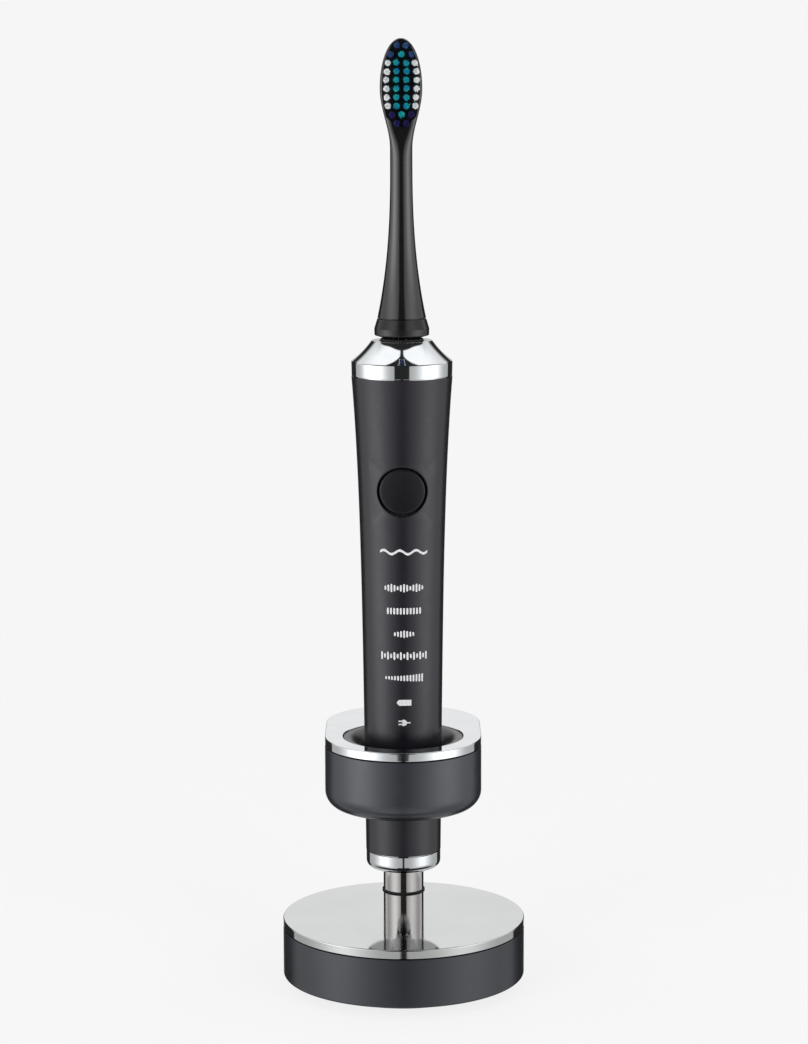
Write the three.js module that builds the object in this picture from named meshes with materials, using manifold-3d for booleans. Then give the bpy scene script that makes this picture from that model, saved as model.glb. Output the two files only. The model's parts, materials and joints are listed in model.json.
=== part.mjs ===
// A sonic toothbrush standing in its charger. The tapered handle hangs in the oval charging head of a stand:
// a weighted round base and a steel pole behind the handle. The brush head pulls off the drive shaft.
// Millimetres, +Z up. The front (button, marks and bristles) faces -Y.
// The origin is the centre of the round base, on the floor.
import * as THREE from "three";
import { mergeVertices } from "three/addons/utils/BufferGeometryUtils.js";
import Module from "manifold-3d";

const wasm = await Module();
wasm.setup();

// ---------------------------------------------------------------- driving dimensions

const GAP = 0.3; // clearance between neighbouring pieces
const FAR = 400; // long enough to cut right through anything here

const BASE_RADIUS = 35; // the round base
const BASE_TOP = 20;
const BASE_CAP_RIM = 2.5; // height of the polished cap's rim
const SHELL_BOTTOM = 3.1; // lower edge of the base shell, held off the floor by the foot pad
const SHELL_WALL = 2;
const DECK_BOTTOM = 14.2; // the floor inside the base that carries the pole
const FOOT_RADIUS = 26;
const FOOT_TOP = 3.3;
const COVER_TOP = 5.6; // the cover that closes the base from below
const COVER_BOTTOM = 3.6;
const BASE_SCREW_CIRCLE = 22;
const BASE_SCREW_ANGLES = [30, 150, 270]; // degrees from +X
const BOSS_RADIUS = 3;

const HANDLE_OFFSET = 9; // handle axis behind the centre of the base
const POLE_OFFSET = 18; // pole axis behind the handle axis
const POLE_RADIUS = 6;
const POLE_BORE = 4.6;
const POLE_FOOT = 15.5;
const LEAD_RADIUS = 0.9;
const LEAD_FOOT_Y = -2.9; // where the lead passes the lower plug, from the pole axis
const LEAD_HEAD_Y = 2.9; // where it passes the upper plug
const SCREW_FOOT_Y = 1.4; // the pole's screws sit on the other side of the lead
const SCREW_HEAD_Y = -1.4;

const HEAD_RADIUS = 22.8; // end radius of the oval charging head
const HEAD_BOTTOM = 50.5;
const HEAD_FLOOR = 53.5; // top of its floor
const HEAD_TOP = 71.4;
const HEAD_CAP_RIM = 2.5;
const HEAD_EDGE = 5; // rounding of the lower edge
const HEAD_WALL = 2;
const MOUTH_RADIUS = 17.55; // hole in the polished top plate
const BORE_RADIUS = 11.6; // the bore that the handle hangs in
const BOWL_DEPTH = 8; // from the lip of the mouth down to the bore
const BOARD_Z = 57; // the charger's circuit board

const HANDLE_FOOT = 32.5;
const HOUSING_FOOT = 37.5; // top of the polished end cap
const HOUSING_TOP = 177;
const HOUSING_WALL = 1.5;
const HANDLE_FOOT_RADIUS = 10.9;
const HANDLE_TAPER = 1.5; // radius gained evenly from foot to top
const HANDLE_FLARE = 2.1; // radius gained mostly near the top
const FLARE_POWER = 4.6;

const SHOULDER_RADIUS = 14.5;
const SHOULDER_BAND_TOP = 180.6; // where the band turns into the cone
const SHOULDER_TOP = 186.9;
const SHOULDER_MOUTH = 8.56;

const BUTTON_Z = 144.9;
const BUTTON_RADIUS = 6.5;
const BUTTON_HOLE = 7.1;
const MARK_HEIGHTS = [117.1, 110.4, 103.7, 97.3, 90.8, 83.6, 77.7]; // five modes, battery, charging

const CIRCUIT_FRONT = -7.9; // front face of the handle's circuit board, from the handle axis
const BATTERY_RADIUS = 7;
const BATTERY_Y = 1.2; // the battery sits a little behind the handle axis

const PIVOT_Z = 158.5; // the drive shaft rocks here
const PIN_RADIUS = 0.8;
const PIN_HOLE = 1.1;
const SHAFT_RADIUS = 1.9;
const SHAFT_FOOT = 130;
const SHAFT_TOP = 206;
const MAGNET_BOTTOM = 134;
const MAGNET_TOP = 148;

const BRUSH_FOOT = 187.8;
const BRUSH_RING_TOP = 193.1;
const BRUSH_RING_RADIUS = 7.85;
const BRUSH_FOOT_RADIUS = 7; // of the neck, just above the ring
const NECK_TOP = 238; // the neck is slimmest here
const NECK_RADIUS = 3.17;
const NECK_POWER = 2.5;
const WIDEN_SPAN = 17; // height over which the neck widens into the head
const WIDEST_Z = 258;
const BRUSH_TOP = 272;
const BRUSH_HALF_WIDTH = 6;
const BRUSH_HALF_DEPTH = 2.4;
const TIP_POWER = 2.05;

const TUFT_RADIUS = 1;
const TUFT_TIP = -11.4; // the bristles' ends, in front of the handle axis
const ROOT_DEPTH = 0.8; // pocket in the head's face that the tufts' roots sit in

// ---------------------------------------------------------------- materials

const material = (color, roughness, metalness) =>
  new THREE.MeshStandardMaterial({ color, roughness, metalness });

const satinBlack = material(0x26262a, 0.4, 0.1);
const satinCharcoal = material(0x3b3d44, 0.4, 0.2);
const glossBlack = material(0x1c1c1f, 0.25, 0);
const innerPlastic = material(0x55575c, 0.6, 0);
const clearPlastic = material(0xcfd6da, 0.2, 0);
const rubber = material(0x151517, 0.85, 0);
const chrome = material(0xe6e8ea, 0.06, 1);
const steel = material(0xb9b7b3, 0.25, 1);
const castIron = material(0x55565a, 0.6, 0.8);
const ferrite = material(0x3a3836, 0.7, 0.2);
const copper = material(0xb4703c, 0.35, 1);
const circuitGreen = material(0x1f5b3a, 0.5, 0);
const cellWrap = material(0x2f6fae, 0.45, 0);
const whiteBristle = material(0xe9edf2, 0.55, 0);
const tealBristle = material(0x0f8f9a, 0.5, 0);
const navyBristle = material(0x1d2557, 0.5, 0);

// ---------------------------------------------------------------- shape helpers

/** A closed geometry as a manifold-3d solid. */
function solid(geometry) {
  const bare = new THREE.BufferGeometry();
  bare.setAttribute("position", geometry.getAttribute("position"));
  bare.setIndex(geometry.getIndex());
  const merged = mergeVertices(bare, 1e-4);
  return new wasm.Manifold(
    new wasm.Mesh({
      numProp: 3,
      vertProperties: merged.getAttribute("position").array,
      triVerts: new Uint32Array(merged.getIndex().array),
    }),
  );
}

/** A manifold-3d solid as a geometry. */
function geometryOf(made) {
  const { vertProperties, triVerts } = made.getMesh();
  return new THREE.BufferGeometry()
    .setAttribute("position", new THREE.BufferAttribute(vertProperties, 3))
    .setIndex(new THREE.BufferAttribute(triVerts, 1));
}

const join = (first, ...others) => others.reduce((a, b) => a.add(b), first);
const cut = (first, ...others) => others.reduce((a, b) => a.subtract(b), first);

/** A body of revolution about Z from [radius, z] pairs: up the outside, then down the inside or the axis. */
function lathe(profile, segments = 28) {
  const points = profile.map(([r, z]) => new THREE.Vector2(r, z));
  if (points[0].x > 0) points.push(points[0].clone());
  return solid(new THREE.LatheGeometry(points, segments).rotateX(Math.PI / 2));
}

/** A plain tube or disc about Z. */
function ring(inner, outer, bottom, top, segments = 28) {
  const profile = [
    [inner, bottom],
    [outer, bottom],
    [outer, top],
    [inner, top],
  ];
  return lathe(profile, segments);
}

function box(x0, x1, y0, y1, z0, z1) {
  const geometry = new THREE.BoxGeometry(x1 - x0, y1 - y0, z1 - z0);
  return solid(geometry.translate((x0 + x1) / 2, (y0 + y1) / 2, (z0 + z1) / 2));
}

/** A cylinder along Z about (x, y). */
function rod(radius, bottom, top, x = 0, y = 0, segments = 14) {
  const geometry = new THREE.CylinderGeometry(radius, radius, top - bottom, segments);
  return solid(geometry.rotateX(Math.PI / 2).translate(x, y, (bottom + top) / 2));
}

/** A cylinder along Y about (x, z). */
function rodAlongY(radius, front, back, x, z, segments = 14) {
  const geometry = new THREE.CylinderGeometry(radius, radius, back - front, segments);
  return solid(geometry.translate(x, (front + back) / 2, z));
}

/** A cylinder along X, through the handle axis. */
function rodAlongX(radius, left, right, z, segments = 14) {
  const geometry = new THREE.CylinderGeometry(radius, radius, right - left, segments);
  return solid(geometry.rotateZ(Math.PI / 2).translate((left + right) / 2, 0, z));
}

/** A screw with a round head, standing head down, about (x, y). */
function screw(headRadius, headHeight, shankRadius, bottom, top, x, y) {
  const head = rod(headRadius, bottom, bottom + headHeight, x, y);
  return join(head, rod(shankRadius, bottom, top, x, y, 8));
}

/** The same screw, driven from above. */
function screwFromAbove(headRadius, headHeight, shankRadius, bottom, top, x, y) {
  const head = rod(headRadius, top - headHeight, top, x, y);
  return join(head, rod(shankRadius, bottom, top, x, y, 8));
}

/**
 * The charging head's outline: two half circles joined by straight sides, the front one about the handle
 * and the rear one about the pole. The block's lower and upper edges are rounded to `edge`.
 */
function ovalBlock(radius, bottom, top, edge = 0, edgeSteps = 4) {
  const outline = new THREE.Shape();
  outline.absarc(0, 0, radius, Math.PI, 2 * Math.PI);
  outline.absarc(0, POLE_OFFSET, radius, 0, Math.PI);
  const geometry = new THREE.ExtrudeGeometry(outline, {
    depth: top - bottom - 2 * edge,
    curveSegments: 9,
    bevelEnabled: edge > 0,
    bevelThickness: edge,
    bevelSize: edge,
    bevelOffset: -edge,
    bevelSegments: edgeSteps,
  });
  return solid(geometry.translate(0, 0, bottom + edge));
}

/** A solid skinned over rings of points of equal number, closed at both ends. */
function loft(rings) {
  const sides = rings[0].length;
  const index = [];
  for (let level = 0; level + 1 < rings.length; level++) {
    for (let i = 0; i < sides; i++) {
      const a = level * sides + i;
      const b = level * sides + ((i + 1) % sides);
      index.push(a, b, b + sides, a, b + sides, a + sides);
    }
  }
  const last = (rings.length - 1) * sides;
  for (let i = 1; i + 1 < sides; i++) {
    index.push(0, i + 1, i, last, last + i, last + i + 1);
  }
  const geometry = new THREE.BufferGeometry();
  const positions = rings.flat().flatMap((p) => [p.x, p.y, p.z]);
  geometry.setAttribute("position", new THREE.Float32BufferAttribute(positions, 3));
  geometry.setIndex(index);
  return solid(geometry);
}

/** Points of a round in a lathe profile, about (r, z), between two angles in degrees. */
function round(r, z, radius, from, to, steps) {
  return Array.from({ length: steps + 1 }, (_, i) => {
    const angle = THREE.MathUtils.degToRad(from + ((to - from) * i) / steps);
    return [r + radius * Math.cos(angle), z + radius * Math.sin(angle)];
  });
}

const spread = (from, to, steps) =>
  Array.from({ length: steps + 1 }, (_, i) => from + ((to - from) * i) / steps);

function onCircle(radius, degrees) {
  const angle = THREE.MathUtils.degToRad(degrees);
  return [radius * Math.cos(angle), radius * Math.sin(angle)];
}

function add(group, name, made, finish) {
  const mesh = new THREE.Mesh(geometryOf(made), finish);
  mesh.name = name;
  group.add(mesh);
}

// ---------------------------------------------------------------- the stand's base

const POLE_Y = HANDLE_OFFSET + POLE_OFFSET;
const INLET = { halfWidth: 4, front: 26.4, back: 34.4, bottom: 6, top: 12, bore: 2.9, pin: 0.65 };
const baseScrewPlaces = BASE_SCREW_ANGLES.map((angle) => onCircle(BASE_SCREW_CIRCLE, angle));

function baseShell() {
  const edge = 0.5;
  const inner = BASE_RADIUS - SHELL_WALL;
  const rimSeat = BASE_TOP - BASE_CAP_RIM - GAP;
  const deckTop = BASE_TOP - 1.9;
  const profile = [
    [0, DECK_BOTTOM],
    [inner, DECK_BOTTOM],
    [inner, SHELL_BOTTOM],
    ...round(BASE_RADIUS - edge, SHELL_BOTTOM + edge, edge, -90, 0, 2),
    [BASE_RADIUS, rimSeat],
    [inner - GAP, rimSeat],
    [inner - GAP, deckTop],
    [0, deckTop],
  ];
  const bossTop = DECK_BOTTOM + 1;
  const bosses = baseScrewPlaces.map(([x, y]) => rod(BOSS_RADIUS, COVER_TOP + GAP, bossTop, x, y));
  const bossHoles = baseScrewPlaces.map(([x, y]) => rod(1.3, 0, 13, x, y, 8));
  return cut(
    join(lathe(profile, 40), ...bosses),
    ...bossHoles,
    rod(POLE_RADIUS + GAP, POLE_FOOT - GAP, FAR, 0, POLE_Y, 20),
    rod(1.7, 0, FAR, 0, POLE_Y + SCREW_FOOT_Y, 12),
    rod(LEAD_RADIUS + 0.4, 0, FAR, 0, POLE_Y + LEAD_FOOT_Y, 12),
    box(-INLET.halfWidth - GAP, INLET.halfWidth + GAP, 30, FAR, INLET.bottom - GAP, INLET.top + GAP),
  );
}

function baseTopPlate() {
  const edge = 0.4;
  const rim = BASE_RADIUS - SHELL_WALL;
  const under = BASE_TOP - 1.6;
  const profile = [
    [0, under],
    [rim, under],
    [rim, BASE_TOP - BASE_CAP_RIM],
    [BASE_RADIUS, BASE_TOP - BASE_CAP_RIM],
    ...round(BASE_RADIUS - edge, BASE_TOP - edge, edge, 0, 90, 2),
    [0, BASE_TOP],
  ];
  return cut(lathe(profile, 40), rod(POLE_RADIUS + GAP, 0, FAR, 0, POLE_Y, 20));
}

/** A cast disc with room for the inlet, the pole's screw and the screw bosses. */
function baseWeight() {
  const disc = rod(BASE_RADIUS - SHELL_WALL - 3, COVER_TOP + GAP, DECK_BOTTOM - GAP, 0, 0, 32);
  const bossHoles = baseScrewPlaces.map(([x, y]) => rod(BOSS_RADIUS + GAP, 0, FAR, x, y));
  return cut(disc, ...bossHoles, box(-10, 10, 19, FAR, 0, FAR));
}

function baseCover() {
  const disc = rod(BASE_RADIUS - SHELL_WALL - GAP, COVER_BOTTOM, COVER_TOP, 0, 0, 40);
  const heads = baseScrewPlaces.map(([x, y]) => rod(2.4, 0, COVER_BOTTOM + 1.1, x, y));
  const shanks = baseScrewPlaces.map(([x, y]) => rod(1.4, 0, FAR, x, y, 12));
  return cut(disc, ...heads, ...shanks);
}

function footPad() {
  const edge = 0.6;
  const profile = [
    [0, 0],
    [FOOT_RADIUS - edge, 0],
    [FOOT_RADIUS, edge],
    [FOOT_RADIUS, FOOT_TOP],
    [0, FOOT_TOP],
  ];
  return lathe(profile, 36);
}

/** The low-voltage socket in the base's rear wall. */
function powerInlet() {
  const { halfWidth, front, back, bottom, top, bore } = INLET;
  const middle = (bottom + top) / 2;
  const block = box(-halfWidth, halfWidth, front, back, bottom, top);
  return cut(block, rodAlongY(bore, front + 1.2, FAR, 0, middle));
}

function inletPin() {
  const { front, back, bottom, top, pin } = INLET;
  return rodAlongY(pin, front + 1.5, back - 1, 0, (bottom + top) / 2, 8);
}

// ---------------------------------------------------------------- the pole and its lead

function pole() {
  return ring(POLE_BORE, POLE_RADIUS, POLE_FOOT, HEAD_BOTTOM - 0.2, 20);
}

/** A thin ring that hides the edge of the hole in the base's polished top. */
function poleGasket() {
  return ring(POLE_RADIUS + 0.15, POLE_RADIUS + 0.5, BASE_TOP + 0.1, BASE_TOP + 0.6, 20);
}

/** A plug pressed into one end of the pole, with a hole for its screw and a slot for the lead. */
function polePlug(bottom, top, screwY, leadY) {
  const slotDepth = 2 * Math.sign(leadY);
  const [near, far] = [leadY - slotDepth / 1.5, leadY + slotDepth * 2].sort((a, b) => a - b);
  const slot = box(-1.3, 1.3, near, far, 0, FAR);
  return cut(rod(POLE_BORE - GAP, bottom, top), rod(1.7, 0, FAR, 0, screwY, 12), slot);
}

/** The lead runs from the inlet up through the pole to the charger's circuit board. */
function innerLead() {
  const inletMiddle = (INLET.bottom + INLET.top) / 2;
  const startY = INLET.front - POLE_Y - 1.2;
  const route = new THREE.CatmullRomCurve3([
    new THREE.Vector3(0, startY, inletMiddle),
    new THREE.Vector3(0, LEAD_FOOT_Y + 0.2, inletMiddle + 1.8),
    new THREE.Vector3(0, LEAD_FOOT_Y, 14),
    new THREE.Vector3(0, LEAD_FOOT_Y, 26),
    new THREE.Vector3(0, 0, 32.5),
    new THREE.Vector3(0, LEAD_HEAD_Y, 39),
    new THREE.Vector3(0, LEAD_HEAD_Y, BOARD_Z - GAP),
  ]);
  const section = new THREE.Shape().absarc(0, 0, LEAD_RADIUS, 0, 2 * Math.PI);
  return solid(
    new THREE.ExtrudeGeometry(section, { steps: 22, curveSegments: 4, extrudePath: route }),
  );
}

// ---------------------------------------------------------------- the charging head

const BOARD_POST = { x: 12, y: POLE_OFFSET + 8, radius: 2.2 };

function chargerBody() {
  const blockTop = HEAD_TOP - HEAD_CAP_RIM - GAP;
  const outer = ovalBlock(HEAD_RADIUS, HEAD_BOTTOM, blockTop + HEAD_EDGE, HEAD_EDGE, 4);
  const hollow = ovalBlock(HEAD_RADIUS - HEAD_WALL, HEAD_FLOOR, FAR, 3, 2);
  const posts = [-1, 1].map((side) =>
    rod(BOARD_POST.radius, HEAD_FLOOR - 1, BOARD_Z - GAP, side * BOARD_POST.x, BOARD_POST.y),
  );
  const postHoles = [-1, 1].map((side) =>
    rod(1.2, HEAD_FLOOR - 1, FAR, side * BOARD_POST.x, BOARD_POST.y, 12),
  );
  return cut(
    join(cut(outer, hollow, box(-FAR, FAR, -FAR, FAR, blockTop, FAR)), ...posts),
    ...postHoles,
    rod(BORE_RADIUS, 0, FAR, 0, 0, 28),
    rod(1.7, 0, FAR, 0, POLE_OFFSET + SCREW_HEAD_Y, 12),
    rod(LEAD_RADIUS + 0.4, 0, FAR, 0, POLE_OFFSET + LEAD_HEAD_Y, 12),
  );
}

function chargerTopPlate() {
  const block = ovalBlock(HEAD_RADIUS, HEAD_TOP - HEAD_CAP_RIM, HEAD_TOP, 0.35, 1);
  const under = ovalBlock(HEAD_RADIUS - 1.6, 0, HEAD_TOP - 1.4);
  return cut(block, under, rod(MOUTH_RADIUS, 0, FAR, 0, 0, 28));
}

/** The bowl inside the mouth: it turns over from a level lip into the upright bore, like a trumpet. */
function chargerLiner() {
  const wall = 1;
  const bottom = HEAD_FLOOR + GAP;
  const lip = HEAD_TOP - 0.3;
  const lipRadius = MOUTH_RADIUS - 0.6;
  const throat = lip - BOWL_DEPTH;
  const flangeTop = HEAD_TOP - 1.4 - GAP;
  const flangeBottom = flangeTop - 1.2;
  const bowl = [0, 20, 40, 62, 90].map((degrees) => {
    const angle = THREE.MathUtils.degToRad(degrees);
    return [
      lipRadius - (lipRadius - BORE_RADIUS) * Math.sin(angle),
      throat + BOWL_DEPTH * Math.cos(angle),
    ];
  });
  const profile = [
    [BORE_RADIUS, bottom],
    [BORE_RADIUS + wall, bottom],
    [BORE_RADIUS + wall, throat],
    [BORE_RADIUS + 3, flangeBottom],
    [MOUTH_RADIUS + 2, flangeBottom],
    [MOUTH_RADIUS + 2, flangeTop],
    [MOUTH_RADIUS - GAP, flangeTop],
    [MOUTH_RADIUS - GAP, lip],
    ...bowl,
  ];
  return lathe(profile);
}

function primaryCoil() {
  const inner = BORE_RADIUS + 1.4;
  return ring(inner, inner + 2.4, 55.8, 60);
}

/** A half-round board in the rear of the charging head. */
function chargerBoard() {
  const half = box(-FAR, FAR, POLE_OFFSET + 1.2, FAR, 0, FAR);
  const plate = ovalBlock(HEAD_RADIUS - HEAD_WALL - 1.2, BOARD_Z, BOARD_Z + 1.2).intersect(half);
  const holes = [-1, 1].map((side) =>
    rod(1.2, 0, FAR, side * BOARD_POST.x, BOARD_POST.y, 12),
  );
  return cut(plate, ...holes);
}

// ---------------------------------------------------------------- the handle

function handleRadius(z) {
  const t = (z - HOUSING_FOOT) / (HOUSING_TOP - HOUSING_FOOT);
  return HANDLE_FOOT_RADIUS + HANDLE_TAPER * t + HANDLE_FLARE * t ** FLARE_POWER;
}

function handleHousing() {
  const heights = [HOUSING_FOOT + GAP, ...spread(80, 125, 2), ...spread(140, HOUSING_TOP - GAP, 4)];
  const outside = heights.map((z) => [handleRadius(z), z]);
  const inside = heights.map((z) => [handleRadius(z) - HOUSING_WALL, z]).reverse();
  const buttonHole = rodAlongY(BUTTON_HOLE, -FAR, 0, 0, BUTTON_Z, 20);
  return cut(lathe([...outside, ...inside]), buttonHole);
}

function bottomCap() {
  const edge = 2;
  const radius = HANDLE_FOOT_RADIUS - 0.05;
  const spigot = HANDLE_FOOT_RADIUS - HOUSING_WALL - GAP;
  const spigotTop = HOUSING_FOOT + 5;
  const groove = spigot - 1;
  const profile = [
    [0, HANDLE_FOOT],
    ...round(radius - edge, HANDLE_FOOT + edge, edge, -90, 0, 3),
    [radius, HOUSING_FOOT],
    [spigot, HOUSING_FOOT],
    [spigot, HOUSING_FOOT + 1.4],
    [groove, HOUSING_FOOT + 1.4],
    [groove, HOUSING_FOOT + 3.4],
    [spigot, HOUSING_FOOT + 3.4],
    [spigot, spigotTop],
    [spigot - 1.8, spigotTop],
    [spigot - 1.8, HANDLE_FOOT + 2],
    [0, HANDLE_FOOT + 2],
  ];
  return lathe(profile);
}

/** A seal ring of squashed section in a spigot's groove. */
function sealRing(inner, outer, bottom, top) {
  const bevel = (top - bottom) / 4;
  const profile = [
    [inner, bottom],
    [outer - bevel, bottom],
    [outer, bottom + bevel],
    [outer, top - bevel],
    [outer - bevel, top],
    [inner, top],
  ];
  return lathe(profile);
}

function bottomSeal() {
  const spigot = HANDLE_FOOT_RADIUS - HOUSING_WALL - GAP;
  return sealRing(spigot - 0.85, spigot + 0.15, HOUSING_FOOT + 1.6, HOUSING_FOOT + 3.2);
}

const SPIGOT_RADIUS = 12.4; // the shoulder cap's spigot inside the housing
const SPIGOT_BORE = 11;

/** The polished cap on top of the handle: a band, then a slightly domed cone up to the seal. */
function shoulderCap() {
  const profile = [
    [SPIGOT_BORE, HOUSING_TOP - 6],
    [SPIGOT_RADIUS, HOUSING_TOP - 6],
    [SPIGOT_RADIUS, HOUSING_TOP],
    [SHOULDER_RADIUS, HOUSING_TOP],
    [SHOULDER_RADIUS, SHOULDER_BAND_TOP],
    [SHOULDER_RADIUS - 0.3, SHOULDER_BAND_TOP + 0.6],
    [13, SHOULDER_BAND_TOP + 1.7],
    [11.7, SHOULDER_BAND_TOP + 2.9],
    [10.1, SHOULDER_BAND_TOP + 4.6],
    [SHOULDER_MOUTH, SHOULDER_TOP],
    [SHOULDER_MOUTH - 0.9, SHOULDER_TOP],
    [SHOULDER_MOUTH - 0.9, SHOULDER_TOP - 3.4],
    [SPIGOT_BORE, SHOULDER_BAND_TOP - 1],
  ];
  return lathe(profile);
}

/** The soft boot between the shoulder cap and the drive shaft, with room for the shaft's swing. */
function shaftSeal() {
  const bore = SHAFT_RADIUS + 0.8;
  const top = SHOULDER_TOP - 0.6;
  const collarTop = BRUSH_FOOT - GAP;
  const profile = [
    [bore, 176.5],
    [SPIGOT_BORE - GAP, 176.5],
    [SPIGOT_BORE - GAP, 179],
    [SHOULDER_MOUTH - 1.2, 183],
    [SHOULDER_MOUTH - 1.2, top],
    [5.5, top],
    [4.2, collarTop],
    [bore, collarTop],
  ];
  return lathe(profile, 20);
}

/** A cradle behind the battery with a bulkhead at each end and two rails beside the drive. */
function chassis() {
  const shell = cut(
    rod(BATTERY_RADIUS + 1.3, 69, 126, 0, BATTERY_Y, 24),
    rod(BATTERY_RADIUS + GAP, 70.5, 124, 0, BATTERY_Y, 24),
    box(-FAR, FAR, -FAR, BATTERY_Y, 70.5, 124),
  );
  const rails = [-1, 1].map((side) => box(side * 8.6 - 0.5, side * 8.6 + 0.5, -1, 3, 125, 153.5));
  const boardNotch = box(-FAR, FAR, -FAR, CIRCUIT_FRONT + 1 + GAP, 0, FAR);
  const bulkhead = rod(10, 124, 126, 0, 0, 24);
  return cut(join(shell, bulkhead, ...rails), boardNotch);
}

function batteryCell() {
  const edge = 0.6;
  const foot = 72.6;
  const top = 122;
  const profile = [
    [0, foot],
    [BATTERY_RADIUS - edge, foot],
    [BATTERY_RADIUS, foot + edge],
    [BATTERY_RADIUS, top - edge],
    [BATTERY_RADIUS - edge, top],
    [2.6, top],
    [2.6, top + 1.2],
    [0, top + 1.2],
  ];
  return lathe(profile, 24).translate(0, BATTERY_Y, 0);
}

function circuitBoard() {
  return box(-4.4, 4.4, CIRCUIT_FRONT, CIRCUIT_FRONT + 1, 74, 152.5);
}

function tactSwitch() {
  const front = CIRCUIT_FRONT - 2.2;
  const body = box(-2.5, 2.5, front + 0.7, CIRCUIT_FRONT - GAP, BUTTON_Z - 2.5, BUTTON_Z + 2.5);
  return join(body, rodAlongY(1.5, front, front + 1, 0, BUTTON_Z, 10));
}

function led(z) {
  return box(-0.8, 0.8, CIRCUIT_FRONT - 0.9, CIRCUIT_FRONT - GAP, z - 0.5, z + 0.5);
}

/** A piece of the handle's round wall, cut out by a cylinder across the front at the button's height. */
function frontPatch(patchRadius, inner, outer) {
  const wall = ring(inner, outer, BUTTON_Z - 12, BUTTON_Z + 12, 36);
  return wall.intersect(rodAlongY(patchRadius, -FAR, 0, 0, BUTTON_Z, 20));
}

function buttonCap() {
  const outer = handleRadius(BUTTON_Z) + 0.1;
  const stem = rodAlongY(1.4, 0.6 - outer, 1.8 - outer, 0, BUTTON_Z, 10);
  return join(frontPatch(BUTTON_RADIUS, outer - 1, outer), stem);
}

/** The membrane behind the button, with a hole for the button's stem. */
function buttonSeal() {
  const outer = handleRadius(BUTTON_Z - 10) - HOUSING_WALL - GAP;
  return cut(frontPatch(8.4, outer - 0.5, outer), rodAlongY(1.8, -FAR, 0, 0, BUTTON_Z, 10));
}

// ---------------------------------------------------------------- charging pick-up in the handle

function chargingCore() {
  const profile = [
    [2.6, 45.5],
    [8.6, 45.5],
    [8.6, 46.7],
    [4.8, 46.7],
    [4.8, 64.8],
    [8.6, 64.8],
    [8.6, 66],
    [2.6, 66],
  ];
  return lathe(profile, 20);
}

function chargingCoil() {
  return ring(5.1, 8.1, 47, 64.5, 20);
}

// ---------------------------------------------------------------- the drive

/** A horseshoe of laminations whose arms stand beside the armature. */
function statorYoke() {
  const outer = box(-7.4, 7.4, -4, 7, MAGNET_BOTTOM, MAGNET_TOP);
  return cut(outer, box(-5.7, 5.7, -FAR, 5.4, 0, FAR));
}

function statorCoil() {
  const outer = box(-4, 4, 4.6, 7.8, MAGNET_BOTTOM - 1.8, MAGNET_TOP + 1.8);
  return cut(outer, box(-FAR, FAR, 5.1, 7.3, MAGNET_BOTTOM - GAP, MAGNET_TOP + GAP));
}

/** The disc across the housing that carries the drive, with bearing holes for the gimbal's pins. */
function driveBracket() {
  const disc = ring(5.6, 11.2, 154.2, 162.6);
  return cut(disc, rodAlongX(PIN_HOLE, -7.8, 7.8, PIVOT_Z, 12));
}

/** The gimbal: pins left and right in the bracket, holes front and back for the shaft's pins. */
function flexureRing() {
  const body = cut(
    ring(2.7, 4.9, PIVOT_Z - 2.2, PIVOT_Z + 2.2, 20),
    rodAlongY(PIN_HOLE, -FAR, FAR, 0, PIVOT_Z, 12),
  );
  const pins = [-1, 1].map((side) => {
    const [left, right] = [side * 4.4, side * 7.4].sort((a, b) => a - b);
    return rodAlongX(PIN_RADIUS, left, right, PIVOT_Z, 8);
  });
  return join(body, ...pins);
}

function driveShaft() {
  const edge = 0.4;
  const profile = [
    [0, SHAFT_FOOT],
    [SHAFT_RADIUS, SHAFT_FOOT],
    [SHAFT_RADIUS, SHAFT_TOP - edge],
    [SHAFT_RADIUS - edge, SHAFT_TOP],
    [0, SHAFT_TOP],
  ];
  return join(lathe(profile, 14), rodAlongY(PIN_RADIUS, -4.5, 4.5, 0, PIVOT_Z, 8));
}

function armatureYoke() {
  const block = box(-3, 3, -3.4, 3.4, MAGNET_BOTTOM, MAGNET_TOP);
  return cut(block, rod(SHAFT_RADIUS + 0.2, 0, FAR));
}

function armatureMagnet(side) {
  const [left, right] = [side * 3.3, side * 4.7].sort((a, b) => a - b);
  return box(left, right, -3.4, 3.4, MAGNET_BOTTOM + 1, MAGNET_TOP - 1);
}

// ---------------------------------------------------------------- the brush head

/** Half the brush head's width, seen from the front, at a height. */
function brushHalfWidth(z) {
  if (z <= NECK_TOP) {
    const t = (NECK_TOP - z) / (NECK_TOP - BRUSH_RING_TOP);
    return NECK_RADIUS + (BRUSH_FOOT_RADIUS - NECK_RADIUS) * t ** NECK_POWER;
  }
  if (z <= WIDEST_Z) {
    const t = Math.min((WIDEST_Z - z) / WIDEN_SPAN, 1);
    const widening = (1 + Math.cos(Math.PI * t)) / 2;
    return NECK_RADIUS + (BRUSH_HALF_WIDTH - NECK_RADIUS) * widening;
  }
  const u = Math.min((z - WIDEST_Z) / (BRUSH_TOP - WIDEST_Z), 1);
  return BRUSH_HALF_WIDTH * (1 - u ** TIP_POWER) ** (1 / TIP_POWER);
}

/** How far the round neck has turned into the flat head: 0 in the neck, 1 in the head. */
function flatness(z) {
  return THREE.MathUtils.smoothstep(z, NECK_TOP, NECK_TOP + 10);
}

/** Half the brush head's thickness at a height. */
function brushHalfDepth(z) {
  if (z <= NECK_TOP) return brushHalfWidth(z);
  const u = THREE.MathUtils.clamp((z - WIDEST_Z) / (BRUSH_TOP - WIDEST_Z), 0, 1);
  const depth = THREE.MathUtils.lerp(NECK_RADIUS, BRUSH_HALF_DEPTH, flatness(z));
  return depth * (1 - u ** 5) ** (1 / 5);
}

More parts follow.
